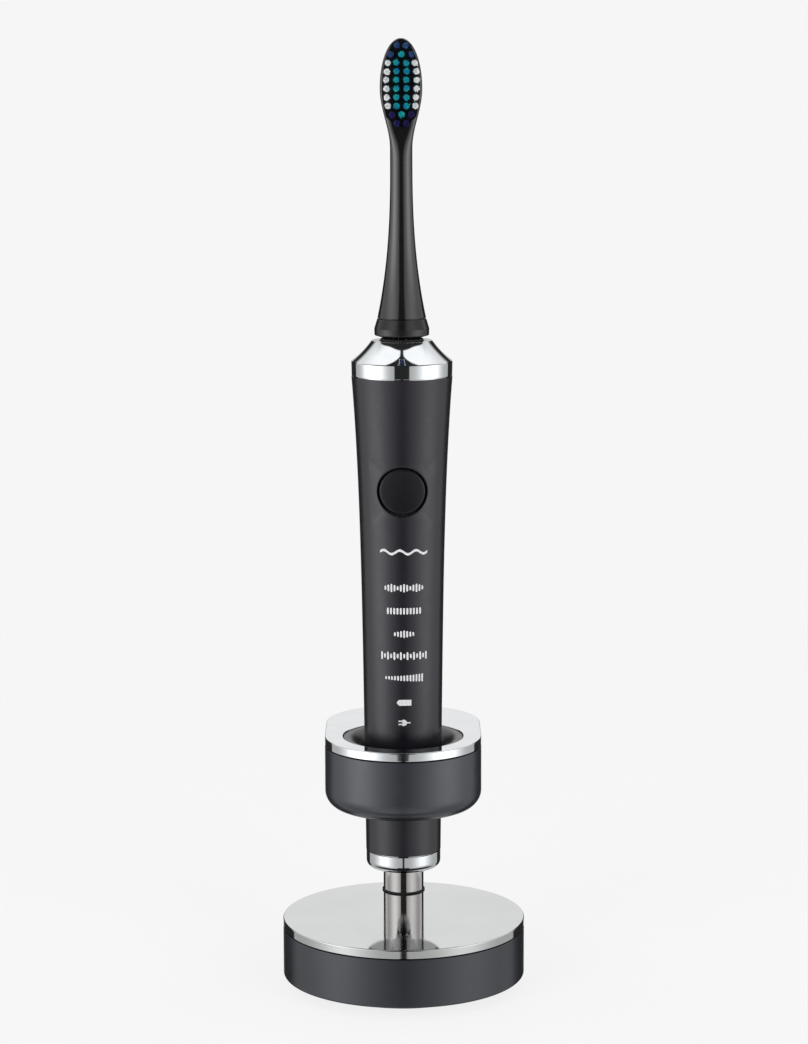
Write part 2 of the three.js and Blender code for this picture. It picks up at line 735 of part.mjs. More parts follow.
/** A cross-section of the brush: round in the neck, with a flat front and a rounded back in the head. */
function brushSection(z, sides = 20) {
  const width = brushHalfWidth(z);
  const depth = brushHalfDepth(z);
  return Array.from({ length: sides }, (_, i) => {
    const angle = (2 * Math.PI * i) / sides;
    const [c, s] = [Math.cos(angle), Math.sin(angle)];
    const squareness = THREE.MathUtils.lerp(1, s < 0 ? 0.4 : 0.8, flatness(z));
    const x = width * Math.sign(c) * Math.abs(c) ** squareness;
    const y = depth * Math.sign(s) * Math.abs(s) ** squareness;
    return new THREE.Vector3(x, y, z);
  });
}

/** The face of the head as a plate across Y, drawn in by `inset` from the head's outline. */
function facePlate(inset, front, back) {
  const heights = [...spread(247, WIDEST_Z, 4), ...spread(261, 270, 4), 271];
  const outline = new THREE.Shape();
  const side = heights.map((z) => [Math.max(brushHalfWidth(z) - inset, 0.6), z]);
  const points = [...side, ...side.map(([x, z]) => [-x, z]).reverse()];
  outline.setFromPoints(points.map(([x, z]) => new THREE.Vector2(x, z)));
  const geometry = new THREE.ExtrudeGeometry(outline, { depth: back - front, bevelEnabled: false });
  return solid(geometry.rotateX(Math.PI / 2).translate(0, back, 0));
}

function brushBody() {
  const neck = spread(BRUSH_RING_TOP + GAP, NECK_TOP, 5);
  const widening = spread(242, WIDEST_Z, 5);
  const tip = spread(16, 80, 5).map(
    (degrees) => WIDEST_Z + (BRUSH_TOP - WIDEST_Z) * Math.sin(THREE.MathUtils.degToRad(degrees)),
  );
  const body = loft([...neck, ...widening, ...tip].map((z) => brushSection(z)));
  const foot = rod(5, BRUSH_FOOT + 0.5, BRUSH_RING_TOP + 1, 0, 0, 20);
  const pocket = facePlate(0.5, -FAR, ROOT_DEPTH - BRUSH_HALF_DEPTH);
  const bore = rod(2.3, 0, SHAFT_TOP + 1, 0, 0, 14);
  const clipSeat = rod(3.4, 189.6, 203.4, 0, 0, 14);
  return cut(join(body, foot), pocket, bore, clipSeat);
}

function brushRing() {
  const profile = [
    [5 + GAP, BRUSH_FOOT],
    [5.8, BRUSH_FOOT],
    [BRUSH_RING_RADIUS, BRUSH_FOOT + 0.8],
    [BRUSH_RING_RADIUS, BRUSH_FOOT + 2.5],
    [BRUSH_FOOT_RADIUS, BRUSH_RING_TOP],
    [5 + GAP, BRUSH_RING_TOP],
  ];
  return lathe(profile, 28);
}

/** The metal sleeve inside the brush that grips the drive shaft. */
function shaftClip() {
  return ring(SHAFT_RADIUS + GAP, 3.1, 190, 203, 14);
}

const ROW_HEIGHTS = spread(253.2, 265.1, 5);
const OUTER_COLUMN = [3.8, 4.05, 4.2, 4.2, 4.05, 3.7];
const CENTRE_COLUMN = 1.4;
const FIELD_BOTTOM = 252; // between the heel's tufts and the rows
const FIELD_TOP = 266.3; // between the rows and the tip's tufts

/** One group of tufts standing on a shared root plate, which `zone` cuts from the head's face. */
function tuftGroup(zone, places) {
  const rootFront = ROOT_DEPTH - BRUSH_HALF_DEPTH - GAP - 0.5;
  const root = facePlate(0.8, rootFront, ROOT_DEPTH - BRUSH_HALF_DEPTH - GAP).intersect(zone);
  const tufts = places.map(([x, z]) => rodAlongY(TUFT_RADIUS, TUFT_TIP, rootFront + 0.4, x, z, 8));
  return join(root, ...tufts);
}

const zoneBox = (left, right, bottom, top) => box(left, right, -FAR, FAR, bottom, top);

function outerTufts(side) {
  const [left, right] = side < 0 ? [-FAR, -2.75] : [2.75, FAR];
  const places = ROW_HEIGHTS.map((z, i) => [side * OUTER_COLUMN[i], z]);
  return tuftGroup(zoneBox(left, right, FIELD_BOTTOM, FIELD_TOP), places);
}

function centreTufts() {
  const zone = join(
    zoneBox(-2.45, 2.45, FIELD_BOTTOM, FIELD_TOP),
    zoneBox(-1.1, 1.1, FIELD_BOTTOM - 2.2, FIELD_TOP + 2.2),
  );
  const rows = ROW_HEIGHTS.flatMap((z) => [
    [-CENTRE_COLUMN, z],
    [CENTRE_COLUMN, z],
  ]);
  return tuftGroup(zone, [...rows, [0, 267.4], [0, 250.9]]);
}

function tipTufts() {
  const zone = cut(
    zoneBox(-FAR, FAR, FIELD_TOP + GAP, FAR),
    zoneBox(-1.4, 1.4, 0, FIELD_TOP + 2.5),
  );
  return tuftGroup(zone, [-1, 1].flatMap((side) => [[side * 2.9, 267.5], [side * 1.2, 269.9]]));
}

function heelTufts() {
  const zone = cut(
    zoneBox(-FAR, FAR, 0, FIELD_BOTTOM - GAP),
    zoneBox(-1.4, 1.4, FIELD_BOTTOM - 2.5, FAR),
  );
  return tuftGroup(zone, [-1, 1].flatMap((side) => [[side * 2.6, 250.8], [side * 1.3, 248.4]]));
}

// ---------------------------------------------------------------- assembly

function buildBase() {
  const group = new THREE.Group();
  add(group, "base_shell", baseShell(), satinCharcoal);
  add(group, "base_top_plate", baseTopPlate(), chrome);
  add(group, "base_weight", baseWeight(), castIron);
  add(group, "base_cover", baseCover(), innerPlastic);
  add(group, "foot_pad", footPad(), rubber);
  add(group, "power_inlet", powerInlet(), innerPlastic);
  add(group, "inlet_pin", inletPin(), steel);
  baseScrewPlaces.forEach(([x, y], i) => {
    const made = screw(2.1, 1, 1, COVER_BOTTOM, 12, x, y);
    add(group, `base_screw_${i + 1}`, made, steel);
  });
  return group;
}

function buildPole() {
  const group = new THREE.Group();
  group.position.y = POLE_Y;
  const head = HEAD_BOTTOM - 0.2;
  add(group, "pole", pole(), steel);
  add(group, "pole_gasket", poleGasket(), rubber);
  add(group, "pole_foot_plug", polePlug(POLE_FOOT, 26, SCREW_FOOT_Y, LEAD_FOOT_Y), innerPlastic);
  add(group, "pole_head_plug", polePlug(40, head, SCREW_HEAD_Y, LEAD_HEAD_Y), innerPlastic);
  add(group, "pole_foot_screw", screw(2.6, 1.3, 1.4, 12.6, 23, 0, SCREW_FOOT_Y), steel);
  const headScrew = screwFromAbove(2.4, 1.2, 1.4, 43, HEAD_FLOOR + 1.4, 0, SCREW_HEAD_Y);
  add(group, "pole_head_screw", headScrew, steel);
  add(group, "inner_lead", innerLead(), rubber);
  return group;
}

function buildChargingHead() {
  const group = new THREE.Group();
  group.position.y = HANDLE_OFFSET;
  add(group, "charger_body", chargerBody(), satinCharcoal);
  add(group, "charger_top_plate", chargerTopPlate(), chrome);
  add(group, "charger_liner", chargerLiner(), satinCharcoal);
  add(group, "primary_coil", primaryCoil(), copper);
  add(group, "charger_board", chargerBoard(), circuitGreen);
  for (const [side, word] of [[-1, "left"], [1, "right"]]) {
    const [x, y] = [side * BOARD_POST.x, BOARD_POST.y];
    const made = screwFromAbove(2, 1, 0.9, HEAD_FLOOR + 0.5, BOARD_Z + 2.4, x, y);
    add(group, `board_screw_${word}`, made, steel);
  }
  return group;
}

function buildHandle() {
  const group = new THREE.Group();
  add(group, "handle_housing", handleHousing(), satinBlack);
  add(group, "bottom_cap", bottomCap(), chrome);
  add(group, "bottom_seal", bottomSeal(), rubber);
  add(group, "shoulder_cap", shoulderCap(), chrome);
  add(group, "shaft_seal", shaftSeal(), rubber);
  add(group, "chassis", chassis(), innerPlastic);
  add(group, "battery_cell", batteryCell(), cellWrap);
  add(group, "circuit_board", circuitBoard(), circuitGreen);
  add(group, "tact_switch", tactSwitch(), steel);
  MARK_HEIGHTS.forEach((z, i) => add(group, `lamp_${i + 1}`, led(z), clearPlastic));
  add(group, "button_seal", buttonSeal(), rubber);
  add(group, "charging_core", chargingCore(), ferrite);
  add(group, "charging_coil", chargingCoil(), copper);
  return group;
}

function buildDrive() {
  const group = new THREE.Group();
  add(group, "stator_yoke", statorYoke(), steel);
  add(group, "stator_coil", statorCoil(), copper);
  add(group, "drive_bracket", driveBracket(), innerPlastic);
  add(group, "flexure_ring", flexureRing(), steel);
  add(group, "drive_shaft", driveShaft(), steel);
  add(group, "armature_yoke", armatureYoke(), steel);
  add(group, "magnet_left", armatureMagnet(-1), castIron);
  add(group, "magnet_right", armatureMagnet(1), castIron);
  add(group, "button_cap", buttonCap(), satinBlack);
  return group;
}

function buildBrushHead() {
  const group = new THREE.Group();
  add(group, "brush_body", brushBody(), glossBlack);
  add(group, "brush_ring", brushRing(), glossBlack);
  add(group, "shaft_clip", shaftClip(), steel);
  add(group, "tufts_outer_left", outerTufts(-1), whiteBristle);
  add(group, "tufts_outer_right", outerTufts(1), whiteBristle);
  add(group, "tufts_centre", centreTufts(), tealBristle);
  add(group, "tufts_tip", tipTufts(), navyBristle);
  add(group, "tufts_heel", heelTufts(), navyBristle);
  return group;
}

const handleAssembly = new THREE.Group();
handleAssembly.position.y = HANDLE_OFFSET;
handleAssembly.add(buildHandle(), buildDrive(), buildBrushHead());

const toothbrush = new THREE.Group();
toothbrush.add(buildBase(), buildPole(), buildChargingHead(), handleAssembly);

export default toothbrush;
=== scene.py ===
"""The looks of the electric toothbrush on its charger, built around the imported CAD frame.

Lengths in this script are millimetres; `Skin.mesh` turns them into metres. The front faces -Y.
"""
import json
import math
import random
from types import SimpleNamespace

import bmesh
import bpy
from mathutils import Euler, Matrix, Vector


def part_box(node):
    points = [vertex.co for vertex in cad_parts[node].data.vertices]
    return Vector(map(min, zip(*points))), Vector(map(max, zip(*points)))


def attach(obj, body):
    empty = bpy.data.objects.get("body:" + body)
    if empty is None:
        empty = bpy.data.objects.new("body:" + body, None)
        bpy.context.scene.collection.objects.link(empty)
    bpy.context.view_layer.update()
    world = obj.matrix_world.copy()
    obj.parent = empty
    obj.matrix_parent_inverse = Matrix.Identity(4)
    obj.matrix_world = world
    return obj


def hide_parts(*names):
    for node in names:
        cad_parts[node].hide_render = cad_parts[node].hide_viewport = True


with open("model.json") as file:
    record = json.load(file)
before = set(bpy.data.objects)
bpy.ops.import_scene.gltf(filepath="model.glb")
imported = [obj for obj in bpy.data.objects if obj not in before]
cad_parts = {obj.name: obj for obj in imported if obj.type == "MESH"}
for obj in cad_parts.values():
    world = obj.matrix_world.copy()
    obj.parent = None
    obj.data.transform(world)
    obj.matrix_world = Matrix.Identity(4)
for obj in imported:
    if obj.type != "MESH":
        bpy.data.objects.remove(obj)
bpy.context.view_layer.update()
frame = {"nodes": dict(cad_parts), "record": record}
MM = 0.001


def span(node):
    """A CAD node's box in millimetres, with its half width as radius."""
    low, high = (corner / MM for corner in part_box(node))
    return SimpleNamespace(
        left=low.x, right=high.x, front=low.y, back=high.y, bottom=low.z, top=high.z,
        radius=(high.x - low.x) / 2,
    )


# ---- driving dimensions

BASE = span("base_shell")
BASE_PLATE = span("base_top_plate")
FOOT = span("foot_pad")
INLET = span("power_inlet")
INLET_PIN = span("inlet_pin")
POLE = span("pole")
RING = span("charger_body")
RING_PLATE = span("charger_top_plate")
LINER = span("charger_liner")
HOUSING = span("handle_housing")
END_CAP = span("bottom_cap")
SHOULDER = span("shoulder_cap")
SEAL = span("shaft_seal")
BUTTON = span("button_cap")
SHAFT = span("drive_shaft")
BRUSH = span("brush_body")
BRUSH_FOOT = span("brush_ring")
TUFTS = span("tufts_centre")

HANDLE_Y = (HOUSING.front + HOUSING.back) / 2
POLE_Y = (POLE.front + POLE.back) / 2
INLET_Z = (INLET.top + INLET.bottom) / 2
INLET_HALF_HEIGHT = (INLET.top - INLET.bottom) / 2
SEAM = 0.3  # the CAD's gap between neighbouring pieces
SEAM_DEPTH = 0.6  # behind this, a step fills the seam all but for SEAM_REST, so no light shows through
SEAM_REST = 0.05

# What follows repeats dimensions of the CAD that no node's box gives.
DRUM_WALL = 2
DECK_BOTTOM = 14.2
DECK_HOLE = 0.5  # radius of a small hole in the deck's middle, hidden under the plate
MIRROR_THICKNESS = 1.6
PIPE_BORE = 4.6

RING_RADIUS = RING.radius
RING_FLOOR = 53.5
RING_PLATE_THICKNESS = 1.4
BORE_RADIUS = 11.6
MOUTH_RADIUS = 17.55
BOWL_DEPTH = 8

HOUSING_FOOT = HOUSING.bottom - SEAM
HOUSING_TOP = HOUSING.top + SEAM
HOUSING_WALL = 1.5
HANDLE_FOOT_RADIUS = 10.9
HANDLE_TAPER = 1.5
HANDLE_FLARE = 2.1
FLARE_POWER = 4.6

BUTTON_Z = (BUTTON.bottom + BUTTON.top) / 2
BUTTON_RADIUS = BUTTON.radius
BUTTON_HOLE = 7.1

SHAFT_RADIUS = 1.9
PIVOT_Z = 158.5  # the height of the shaft's cross pin
CROSS_PIN_RADIUS = 0.8

NECK_TOP = 238
NECK_RADIUS = 3.17
NECK_POWER = 2.5
NECK_FOOT_RADIUS = 7
WIDEST_Z = 258
WIDEN_SPAN = 17
TIP_Z = 272
HALF_WIDTH = 6
HALF_DEPTH = 2.4
TIP_POWER = 2.05

TUFT_TIP = TUFTS.front - HANDLE_Y
ROW_HEIGHTS = [253.2 + 2.38 * i for i in range(6)]
OUTER_COLUMN = [3.8, 4.05, 4.2, 4.2, 4.05, 3.7]
CENTRE_COLUMN = 1.4
CENTRE_ENDS = (267.4, 250.9)
TIP_PLACES = ((2.9, 267.5), (1.2, 269.9))
HEEL_PLACES = ((2.6, 250.8), (1.3, 248.4))


# ---- mesh helpers

def add_object(name, data):
    made = bpy.data.objects.new(name, data)
    bpy.context.scene.collection.objects.link(made)
    return made


SHARP = 35  # edges that turn by more degrees than this stay crisp


class Skin:
    """Collects points (mm) and faces, loop by loop, and turns them into one piece."""

    def __init__(self):
        self.points = []
        self.faces = []

    def loop(self, points):
        start = len(self.points)
        self.points.extend(Vector(p) for p in points)
        return list(range(start, len(self.points)))

    def bridge(self, a, b):
        for i in range(len(a)):
            j = (i + 1) % len(a)
            self.faces.append((a[i], a[j], b[j], b[i]))

    def fan(self, loop, point):
        (tip,) = self.loop([point])
        for i in range(len(loop)):
            self.faces.append((loop[i], loop[(i + 1) % len(loop)], tip))

    def cap(self, loop):
        self.faces.append(tuple(loop))

    def skin(self, loops, closed=False):
        made = [self.loop(points) for points in loops]
        for a, b in zip(made, made[1:]):
            self.bridge(a, b)
        if closed:
            self.bridge(made[-1], made[0])
        return made

    def capped(self, loops):
        """A skin over the loops, closed flat at both ends."""
        made = self.skin(loops)
        self.cap(made[0])
        self.cap(made[-1])

    def round_bar(self, z, count, stations):
        """A round bar along Y at this height, through (radius, y) stations."""
        self.capped([[(x, y, z + v) for x, v, _ in circle(r, 0, 0, count)] for r, y in stations])

    def mesh(self, name, sharp=SHARP):
        data = bpy.data.meshes.new(name)
        data.from_pydata([p * MM for p in self.points], [], self.faces)
        tidy = bmesh.new()
        tidy.from_mesh(data)
        bmesh.ops.recalc_face_normals(tidy, faces=tidy.faces)
        tidy.to_mesh(data)
        tidy.free()
        data.shade_smooth()
        data.set_sharp_from_angle(angle=math.radians(sharp))
        return add_object(name, data)


def circle(radius, z, y=0.0, count=128):
    turn = 2 * math.pi / count
    return [(radius * math.cos(turn * i), y + radius * math.sin(turn * i), z) for i in range(count)]


FLAT_HOLD = 0.12  # extra points this far past an arc, in radii, keep the flats beside it flat


def rounded(corners, steps=6):
    """An outline from (u, v) or (u, v, rounding) corners, with an arc at each rounded one."""
    points = []
    for i, corner in enumerate(corners):
        here = Vector(corner[:2])
        radius = corner[2] if len(corner) > 2 else 0
        if not radius:
            points.append(tuple(here))
            continue
        a = (Vector(corners[i - 1][:2]) - here).normalized()
        b = (Vector(corners[(i + 1) % len(corners)][:2]) - here).normalized()
        half = a.angle(b) / 2
        centre = here + (a + b).normalized() * (radius / math.sin(half))
        start = here + a * (radius / math.tan(half)) - centre
        end = here + b * (radius / math.tan(half)) - centre
        sweep = math.pi - 2 * half
        points.append(tuple(centre + start + a * radius * FLAT_HOLD))
        for k in range(steps + 1):
            t = k / steps
            spoke = start * math.sin((1 - t) * sweep) + end * math.sin(t * sweep)
            points.append(tuple(centre + spoke / math.sin(sweep)))
        points.append(tuple(centre + end + b * radius * FLAT_HOLD))
    return points


def closed_ring(name, loops, sharp=SHARP):
    """A ring-shaped piece: a skin over loops, the last of which meets the first."""
    made = Skin()
    made.skin(loops, closed=True)
    return made.mesh(name, sharp)


def turned(name, profile, y=0.0, count=128, sharp=SHARP):
    """A turned piece about an upright axis at y, closed where its profile starts and ends on the axis."""
    if profile[0][0] > 0:
        return closed_ring(name, [circle(r, z, y, count) for r, z in profile], sharp)
    made = Skin()
    loops = made.skin([circle(r, z, y, count) for r, z in profile[1:-1]])
    made.fan(loops[0], (0, y, profile[0][1]))
    made.fan(loops[-1], (0, y, profile[-1][1]))
    return made.mesh(name, sharp)


def cut_away(piece, cutter):
    """Cuts one mesh out of another and removes the cutter."""
    change = piece.modifiers.new("cut", "BOOLEAN")
    change.operation = "DIFFERENCE"
    change.solver = "EXACT"
    change.object = cutter
    with bpy.context.temp_override(object=piece, active_object=piece):
        bpy.ops.object.modifier_apply(modifier=change.name)
    bpy.data.objects.remove(cutter)
    piece.data.set_sharp_from_angle(angle=math.radians(SHARP))
    return piece


def finish_piece(piece, body, finish, slot, *nodes):
    """Paints a piece, hangs it on its body and lets it stand for the CAD nodes."""
    piece.data.materials.clear()
    piece.data.materials.append(finish)
    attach(piece, body)
    if nodes:
        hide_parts(*nodes)
    return piece


# ---- materials

def add_node(tree, kind, inputs=None, **settings):
    """A new node. An input given another node's socket is linked to it; any other is set."""
    made = tree.nodes.new(kind)
    for key, value in settings.items():
        setattr(made, key, value)
    for key, value in (inputs or {}).items():
        if isinstance(value, bpy.types.NodeSocket):
            tree.links.new(value, made.inputs[key])
        else:
            made.inputs[key].default_value = value
    return made


class Value:
    """A number in a node tree, with Python's arithmetic."""

    def __init__(self, tree, socket):
        self.tree = tree
        self.socket = socket

    def do(self, operation, *others):
        values = [other.socket if isinstance(other, Value) else other for other in (self, *others)]
        node = add_node(self.tree, "ShaderNodeMath", dict(enumerate(values)), operation=operation)
        return Value(self.tree, node.outputs[0])

    def __add__(self, other):
        return self.do("ADD", other)

    def __sub__(self, other):
        return self.do("SUBTRACT", other)

    def __mul__(self, other):
        return self.do("MULTIPLY", other)

    def __truediv__(self, other):
        return self.do("DIVIDE", other)

    def rest(self):
        """What is left of 1."""
        return self * -1 + 1

    def rise(self, low, high):
        """0 below low, 1 above high, smooth between; falls instead where low is over high."""
        inputs = {"Value": self.socket, "From Min": min(low, high), "From Max": max(low, high)}
        if low > high:
            inputs.update({"To Min": 1, "To Max": 0})
        node = add_node(self.tree, "ShaderNodeMapRange", inputs, interpolation_type="SMOOTHSTEP")
        return Value(self.tree, node.outputs[0])


class Shader:
    """A material's node tree, with short calls for the nodes used here."""

    def __init__(self, name):
        self.material = bpy.data.materials.new(name)
        self.material.use_nodes = True
        self.tree = self.material.node_tree
        self.bsdf = self.tree.nodes["Principled BSDF"]
        self.where = self.node("ShaderNodeTexCoord").outputs["Object"]

    def node(self, kind, inputs=None, **settings):
        return add_node(self.tree, kind, inputs, **settings)

    def link(self, source, socket):
        self.tree.links.new(source, self.bsdf.inputs[socket])

    def stretched(self, x, y, z):
        return self.node("ShaderNodeMapping", {"Scale": (x, y, z), "Vector": self.where}).outputs["Vector"]

    def noise(self, scale, detail=3, roughness=0.55, vector=None):
        inputs = {"Scale": scale, "Detail": detail, "Roughness": roughness, "Vector": vector or self.where}
        return self.node("ShaderNodeTexNoise", inputs).outputs["Fac"]

    def spread(self, source, low, high):
        """Stretches the middle of a pattern, where most of a noise lies, over low to high."""
        inputs = {"Value": source, "From Min": 0.3, "From Max": 0.7, "To Min": low, "To Max": high}
        return self.node("ShaderNodeMapRange", inputs).outputs["Result"]

    def colours(self, source, dark, light):
        inputs = {"Factor": source, "A": (*dark, 1), "B": (*light, 1)}
        self.link(self.node("ShaderNodeMix", inputs, data_type="RGBA").outputs["Result"], "Base Color")

    def bump(self, source, strength, distance):
        inputs = {"Height": source, "Strength": strength, "Distance": distance}
        self.link(self.node("ShaderNodeBump", inputs).outputs["Normal"], "Normal")

    def rough(self, source, low, high):
        self.link(self.spread(source, low, high), "Roughness")

    def set(self, **values):
        sockets = {key.lower().replace(" ", "_"): key for key in self.bsdf.inputs.keys()}
        for key, value in values.items():
            self.bsdf.inputs[sockets[key]].default_value = value


def speckled(name, tone, rough, bump=None, **settings):
    """A finish whose tone, roughness and relief each follow a noise of their own.

    Each is (noise, low, high): dark and light for tone, and strength and depth in metres for bump.
    A noise is its scale, its detail and, at will, its roughness.
    """
    made = Shader(name)
    made.set(**settings)
    made.colours(made.spread(made.noise(*tone[0]), 0, 1), *tone[1:])
    made.rough(made.noise(*rough[0]), *rough[1:])
    if bump:
        made.bump(made.noise(*bump[0]), *bump[1:])
    return made.material


def moulded_plastic(name, colour, roughness, gloss=0.5, tint=(1, 1, 1), grain=0.12, drift=0.12):
    """Moulded plastic with a fine spark-eroded grain, and a little drift in tone and gloss."""
    dark, light = ([c * share for c in colour] for share in (1 - drift, 1 + drift))
    return speckled(
        name,
        ((90, 2), dark, light),
        ((420, 4), roughness * 0.9, roughness * 1.1),
        ((5200, 3), grain, 0.00001),
        specular_ior_level=gloss,
        specular_tint=(*tint, 1),
    )


def mirror_steel(name):
    """The base's top: a lapped plate, a shade greyer than the plating, with hairline rubbing marks."""
    made = Shader(name)
    made.set(metallic=1)
    made.colours(made.spread(made.noise(45, 3), 0, 1), (0.505, 0.51, 0.512), (0.545, 0.55, 0.55))
    hairlines = made.noise(900, 4, 0.6, made.stretched(1, 0.06, 1))
    made.rough(hairlines, 0.035, 0.08)
    made.bump(hairlines, 0.02, 0.000004)
    return made.material


def drawn_steel(name):
    """Drawn tube: fine lines along its length, warm grey."""
    made = Shader(name)
    made.set(metallic=1)
    lines = made.noise(2600, 3, 0.6, made.stretched(1, 1, 0.02))
    made.colours(made.spread(lines, 0, 1), (0.58, 0.565, 0.55), (0.66, 0.645, 0.63))
    made.rough(lines, 0.08, 0.14)
    made.bump(lines, 0.06, 0.000006)
    return made.material


def nylon(name, dark, light, patch=520):
    """Bristle nylon: its tone changes about as finely as its filaments, and it is lightly translucent."""
    return speckled(
        name,
        ((patch, 2), dark, light),
        ((3000, 2), 0.3, 0.45),
        ((9000, 2), 0.2, 0.00001),
        subsurface_weight=0.15,
        subsurface_radius=(0.0006, 0.0006, 0.0006),
        subsurface_scale=0.3,
    )


def bare_metal(name, dark, light, rough_low, rough_high, grain_scale=900):
    return speckled(
        name,
        ((grain_scale / 4, 4), dark, light),
        ((grain_scale, 4), rough_low, rough_high),
        ((grain_scale * 2, 4), 0.3, 0.00002),
        metallic=1,
    )


def wound_wire(name):
    """Enamelled copper wire, wound in fine turns round an upright axis."""
    made = Shader(name)
    made.set(metallic=1, roughness=0.32)
    inputs = {"Scale": 900, "Distortion": 1.5, "Vector": made.where}
    turns = made.node("ShaderNodeTexWave", inputs, bands_direction="Z")
    made.colours(turns.outputs["Fac"], (0.28, 0.10, 0.035), (0.62, 0.30, 0.13))
    made.bump(turns.outputs["Fac"], 0.8, 0.00008)
    return made.material


def solder_mask(name):
    """Circuit board lacquer over faint copper tracks."""
    made = Shader(name)
    tracks = made.node("ShaderNodeTexBrick", {"Scale": 260, "Mortar Size": 0.03, "Vector": made.where})
    made.colours(tracks.outputs["Fac"], (0.012, 0.10, 0.045), (0.03, 0.20, 0.09))
    made.rough(made.noise(600, 3), 0.25, 0.4)
    made.bump(tracks.outputs["Fac"], 0.3, 0.00003)
    return made.material


SATIN_BLACK = moulded_plastic("satin_black", (0.0056, 0.0047, 0.0076), 0.30, 0.56, (0.97, 0.95, 1.0))
BUTTON_BLACK = moulded_plastic("button_black", (0.0034, 0.0029, 0.0044), 0.33, 0.36)
SATIN_CHARCOAL = moulded_plastic("satin_charcoal", (0.0100, 0.0115, 0.0155), 0.31, 0.86, (0.92, 0.95, 1.0))
DRUM_CHARCOAL = moulded_plastic("drum_charcoal", (0.0076, 0.0090, 0.0124), 0.30, 0.72, (0.90, 0.94, 1.0))
GLOSS_BLACK = moulded_plastic("gloss_black", (0.0052, 0.0050, 0.0056), 0.15, 0.85, grain=0.04)
BOWL_GLOSS = moulded_plastic("bowl_gloss", (0.0050, 0.0054, 0.0072), 0.33, 0.7, grain=0.03)
BRUSH_SATIN = moulded_plastic("brush_satin", (0.0045, 0.0040, 0.0050), 0.27)
INNER_PLASTIC = moulded_plastic("inner_plastic", (0.09, 0.095, 0.10), 0.55)
CELL_WRAP = moulded_plastic("cell_wrap", (0.04, 0.16, 0.42), 0.3, drift=0.08)
# Plated plastic: a mirror with faint smears and the slow waviness of moulding.
CHROME = speckled(
    "chrome",
    ((140, 3), (0.565, 0.585, 0.60), (0.61, 0.63, 0.64)),
    ((310, 5, 0.65), 0.03, 0.075),
    ((60, 1), 0.12, 0.00002),
    metallic=1,
)
MIRROR = mirror_steel("mirror_plate")
STEEL = drawn_steel("drawn_steel")
SHAFT_STEEL = bare_metal("shaft_steel", (0.55, 0.55, 0.55), (0.68, 0.68, 0.68), 0.18, 0.3)
CAST_IRON = bare_metal("cast_iron", (0.08, 0.08, 0.085), (0.14, 0.14, 0.15), 0.5, 0.7, 400)
FERRITE = bare_metal("ferrite", (0.035, 0.033, 0.03), (0.06, 0.056, 0.052), 0.55, 0.75)
RUBBER = speckled(
    "rubber",
    ((260, 3), (0.010, 0.010, 0.011), (0.018, 0.018, 0.020)),
    ((700, 4), 0.62, 0.85),
    ((2400, 4), 0.4, 0.00003),
)
# Pale pad-printed ink, slightly broken at a fine scale.
INK = speckled(
    "printed_ink",
    ((1800, 3), (0.50, 0.505, 0.52), (0.66, 0.665, 0.68)),
    ((900, 3), 0.45, 0.6),
    ((6000, 2), 0.3, 0.000006),
)
COPPER = wound_wire("copper_wire")
CIRCUIT = solder_mask("circuit_board")
RESIN = speckled(
    "clear_resin",
    ((800, 2), (0.60, 0.66, 0.70), (0.72, 0.76, 0.79)),
    ((1200, 2), 0.1, 0.2),
    transmission_weight=0.6,
)
WHITE_NYLON = nylon("white_nylon", (0.90, 0.93, 0.96), (0.99, 0.99, 0.99))
TEAL_NYLON = nylon("teal_nylon", (0.0, 0.20, 0.50), (0.02, 0.66, 0.55), 700)
NAVY_NYLON = nylon("navy_nylon", (0.006, 0.022, 0.12), (0.06, 0.17, 0.42), 900)
HEEL_NYLON = nylon("heel_nylon", (0.010, 0.008, 0.07), (0.030, 0.022, 0.20), 900)

CARRIED = {
    "inner_plastic": INNER_PLASTIC, "steel": SHAFT_STEEL, "cast_iron": CAST_IRON, "ferrite": FERRITE,
    "rubber": RUBBER, "copper": COPPER, "circuit_green": CIRCUIT, "cell_wrap": CELL_WRAP,
    "clear_plastic": RESIN, "satin_black": SATIN_BLACK, "satin_charcoal": SATIN_CHARCOAL,
    "chrome": CHROME, "gloss_black": GLOSS_BLACK, "white_bristle": WHITE_NYLON,
    "teal_bristle": TEAL_NYLON, "navy_bristle": NAVY_NYLON,
}


def paint_carried_nodes():
    """Every CAD node gets the finish of its slot; the nodes replaced later are hidden anyway."""
    for part in frame["record"]["subparts"]:
        data = frame["nodes"][part["node"]].data
        data.materials.clear()
        data.materials.append(CARRIED[part["material_slot"]])


# ---- the base

INLET_CUT = (30, 40)  # the inlet's opening is cut from inside the drum's wall to outside it


def build_base_drum():
    """The satin drum, open below, with a shallow seat for the mirror plate."""
    seat = BASE_PLATE.bottom - SEAM
    inner = BASE.radius - DRUM_WALL
    profile = rounded([
        (DECK_HOLE, DECK_BOTTOM),
        (inner, DECK_BOTTOM, 1),
        (inner, BASE.bottom, 0.4),
        (BASE.radius, BASE.bottom, 0.5),
        (BASE.radius, seat, 0.18),
        (inner - SEAM, seat, 0.15),
        (inner - SEAM, BASE.top),
        (DECK_HOLE, BASE.top),
    ])
    drum = turned("base_drum", profile, 0, 160)
    width, height = INLET.right + SEAM, INLET_HALF_HEIGHT + SEAM
    cut_away(drum, block_along_y("inlet_cutter", width, height, 0.9, *INLET_CUT, INLET_Z))
    return finish_piece(drum, "stand", DRUM_CHARCOAL, "satin_charcoal", "base_shell")


def block_along_y(name, half_width, half_height, rounding, front, back, z):
    """A bar with rounded edges, lying along Y."""
    corners = ((-1, -1), (1, -1), (1, 1), (-1, 1))
    outline = rounded([(a * half_width, b * half_height, rounding) for a, b in corners])
    made = Skin()
    made.capped([[(u, y, z + v) for u, v in outline] for y in (front, back)])
    return made.mesh(name)


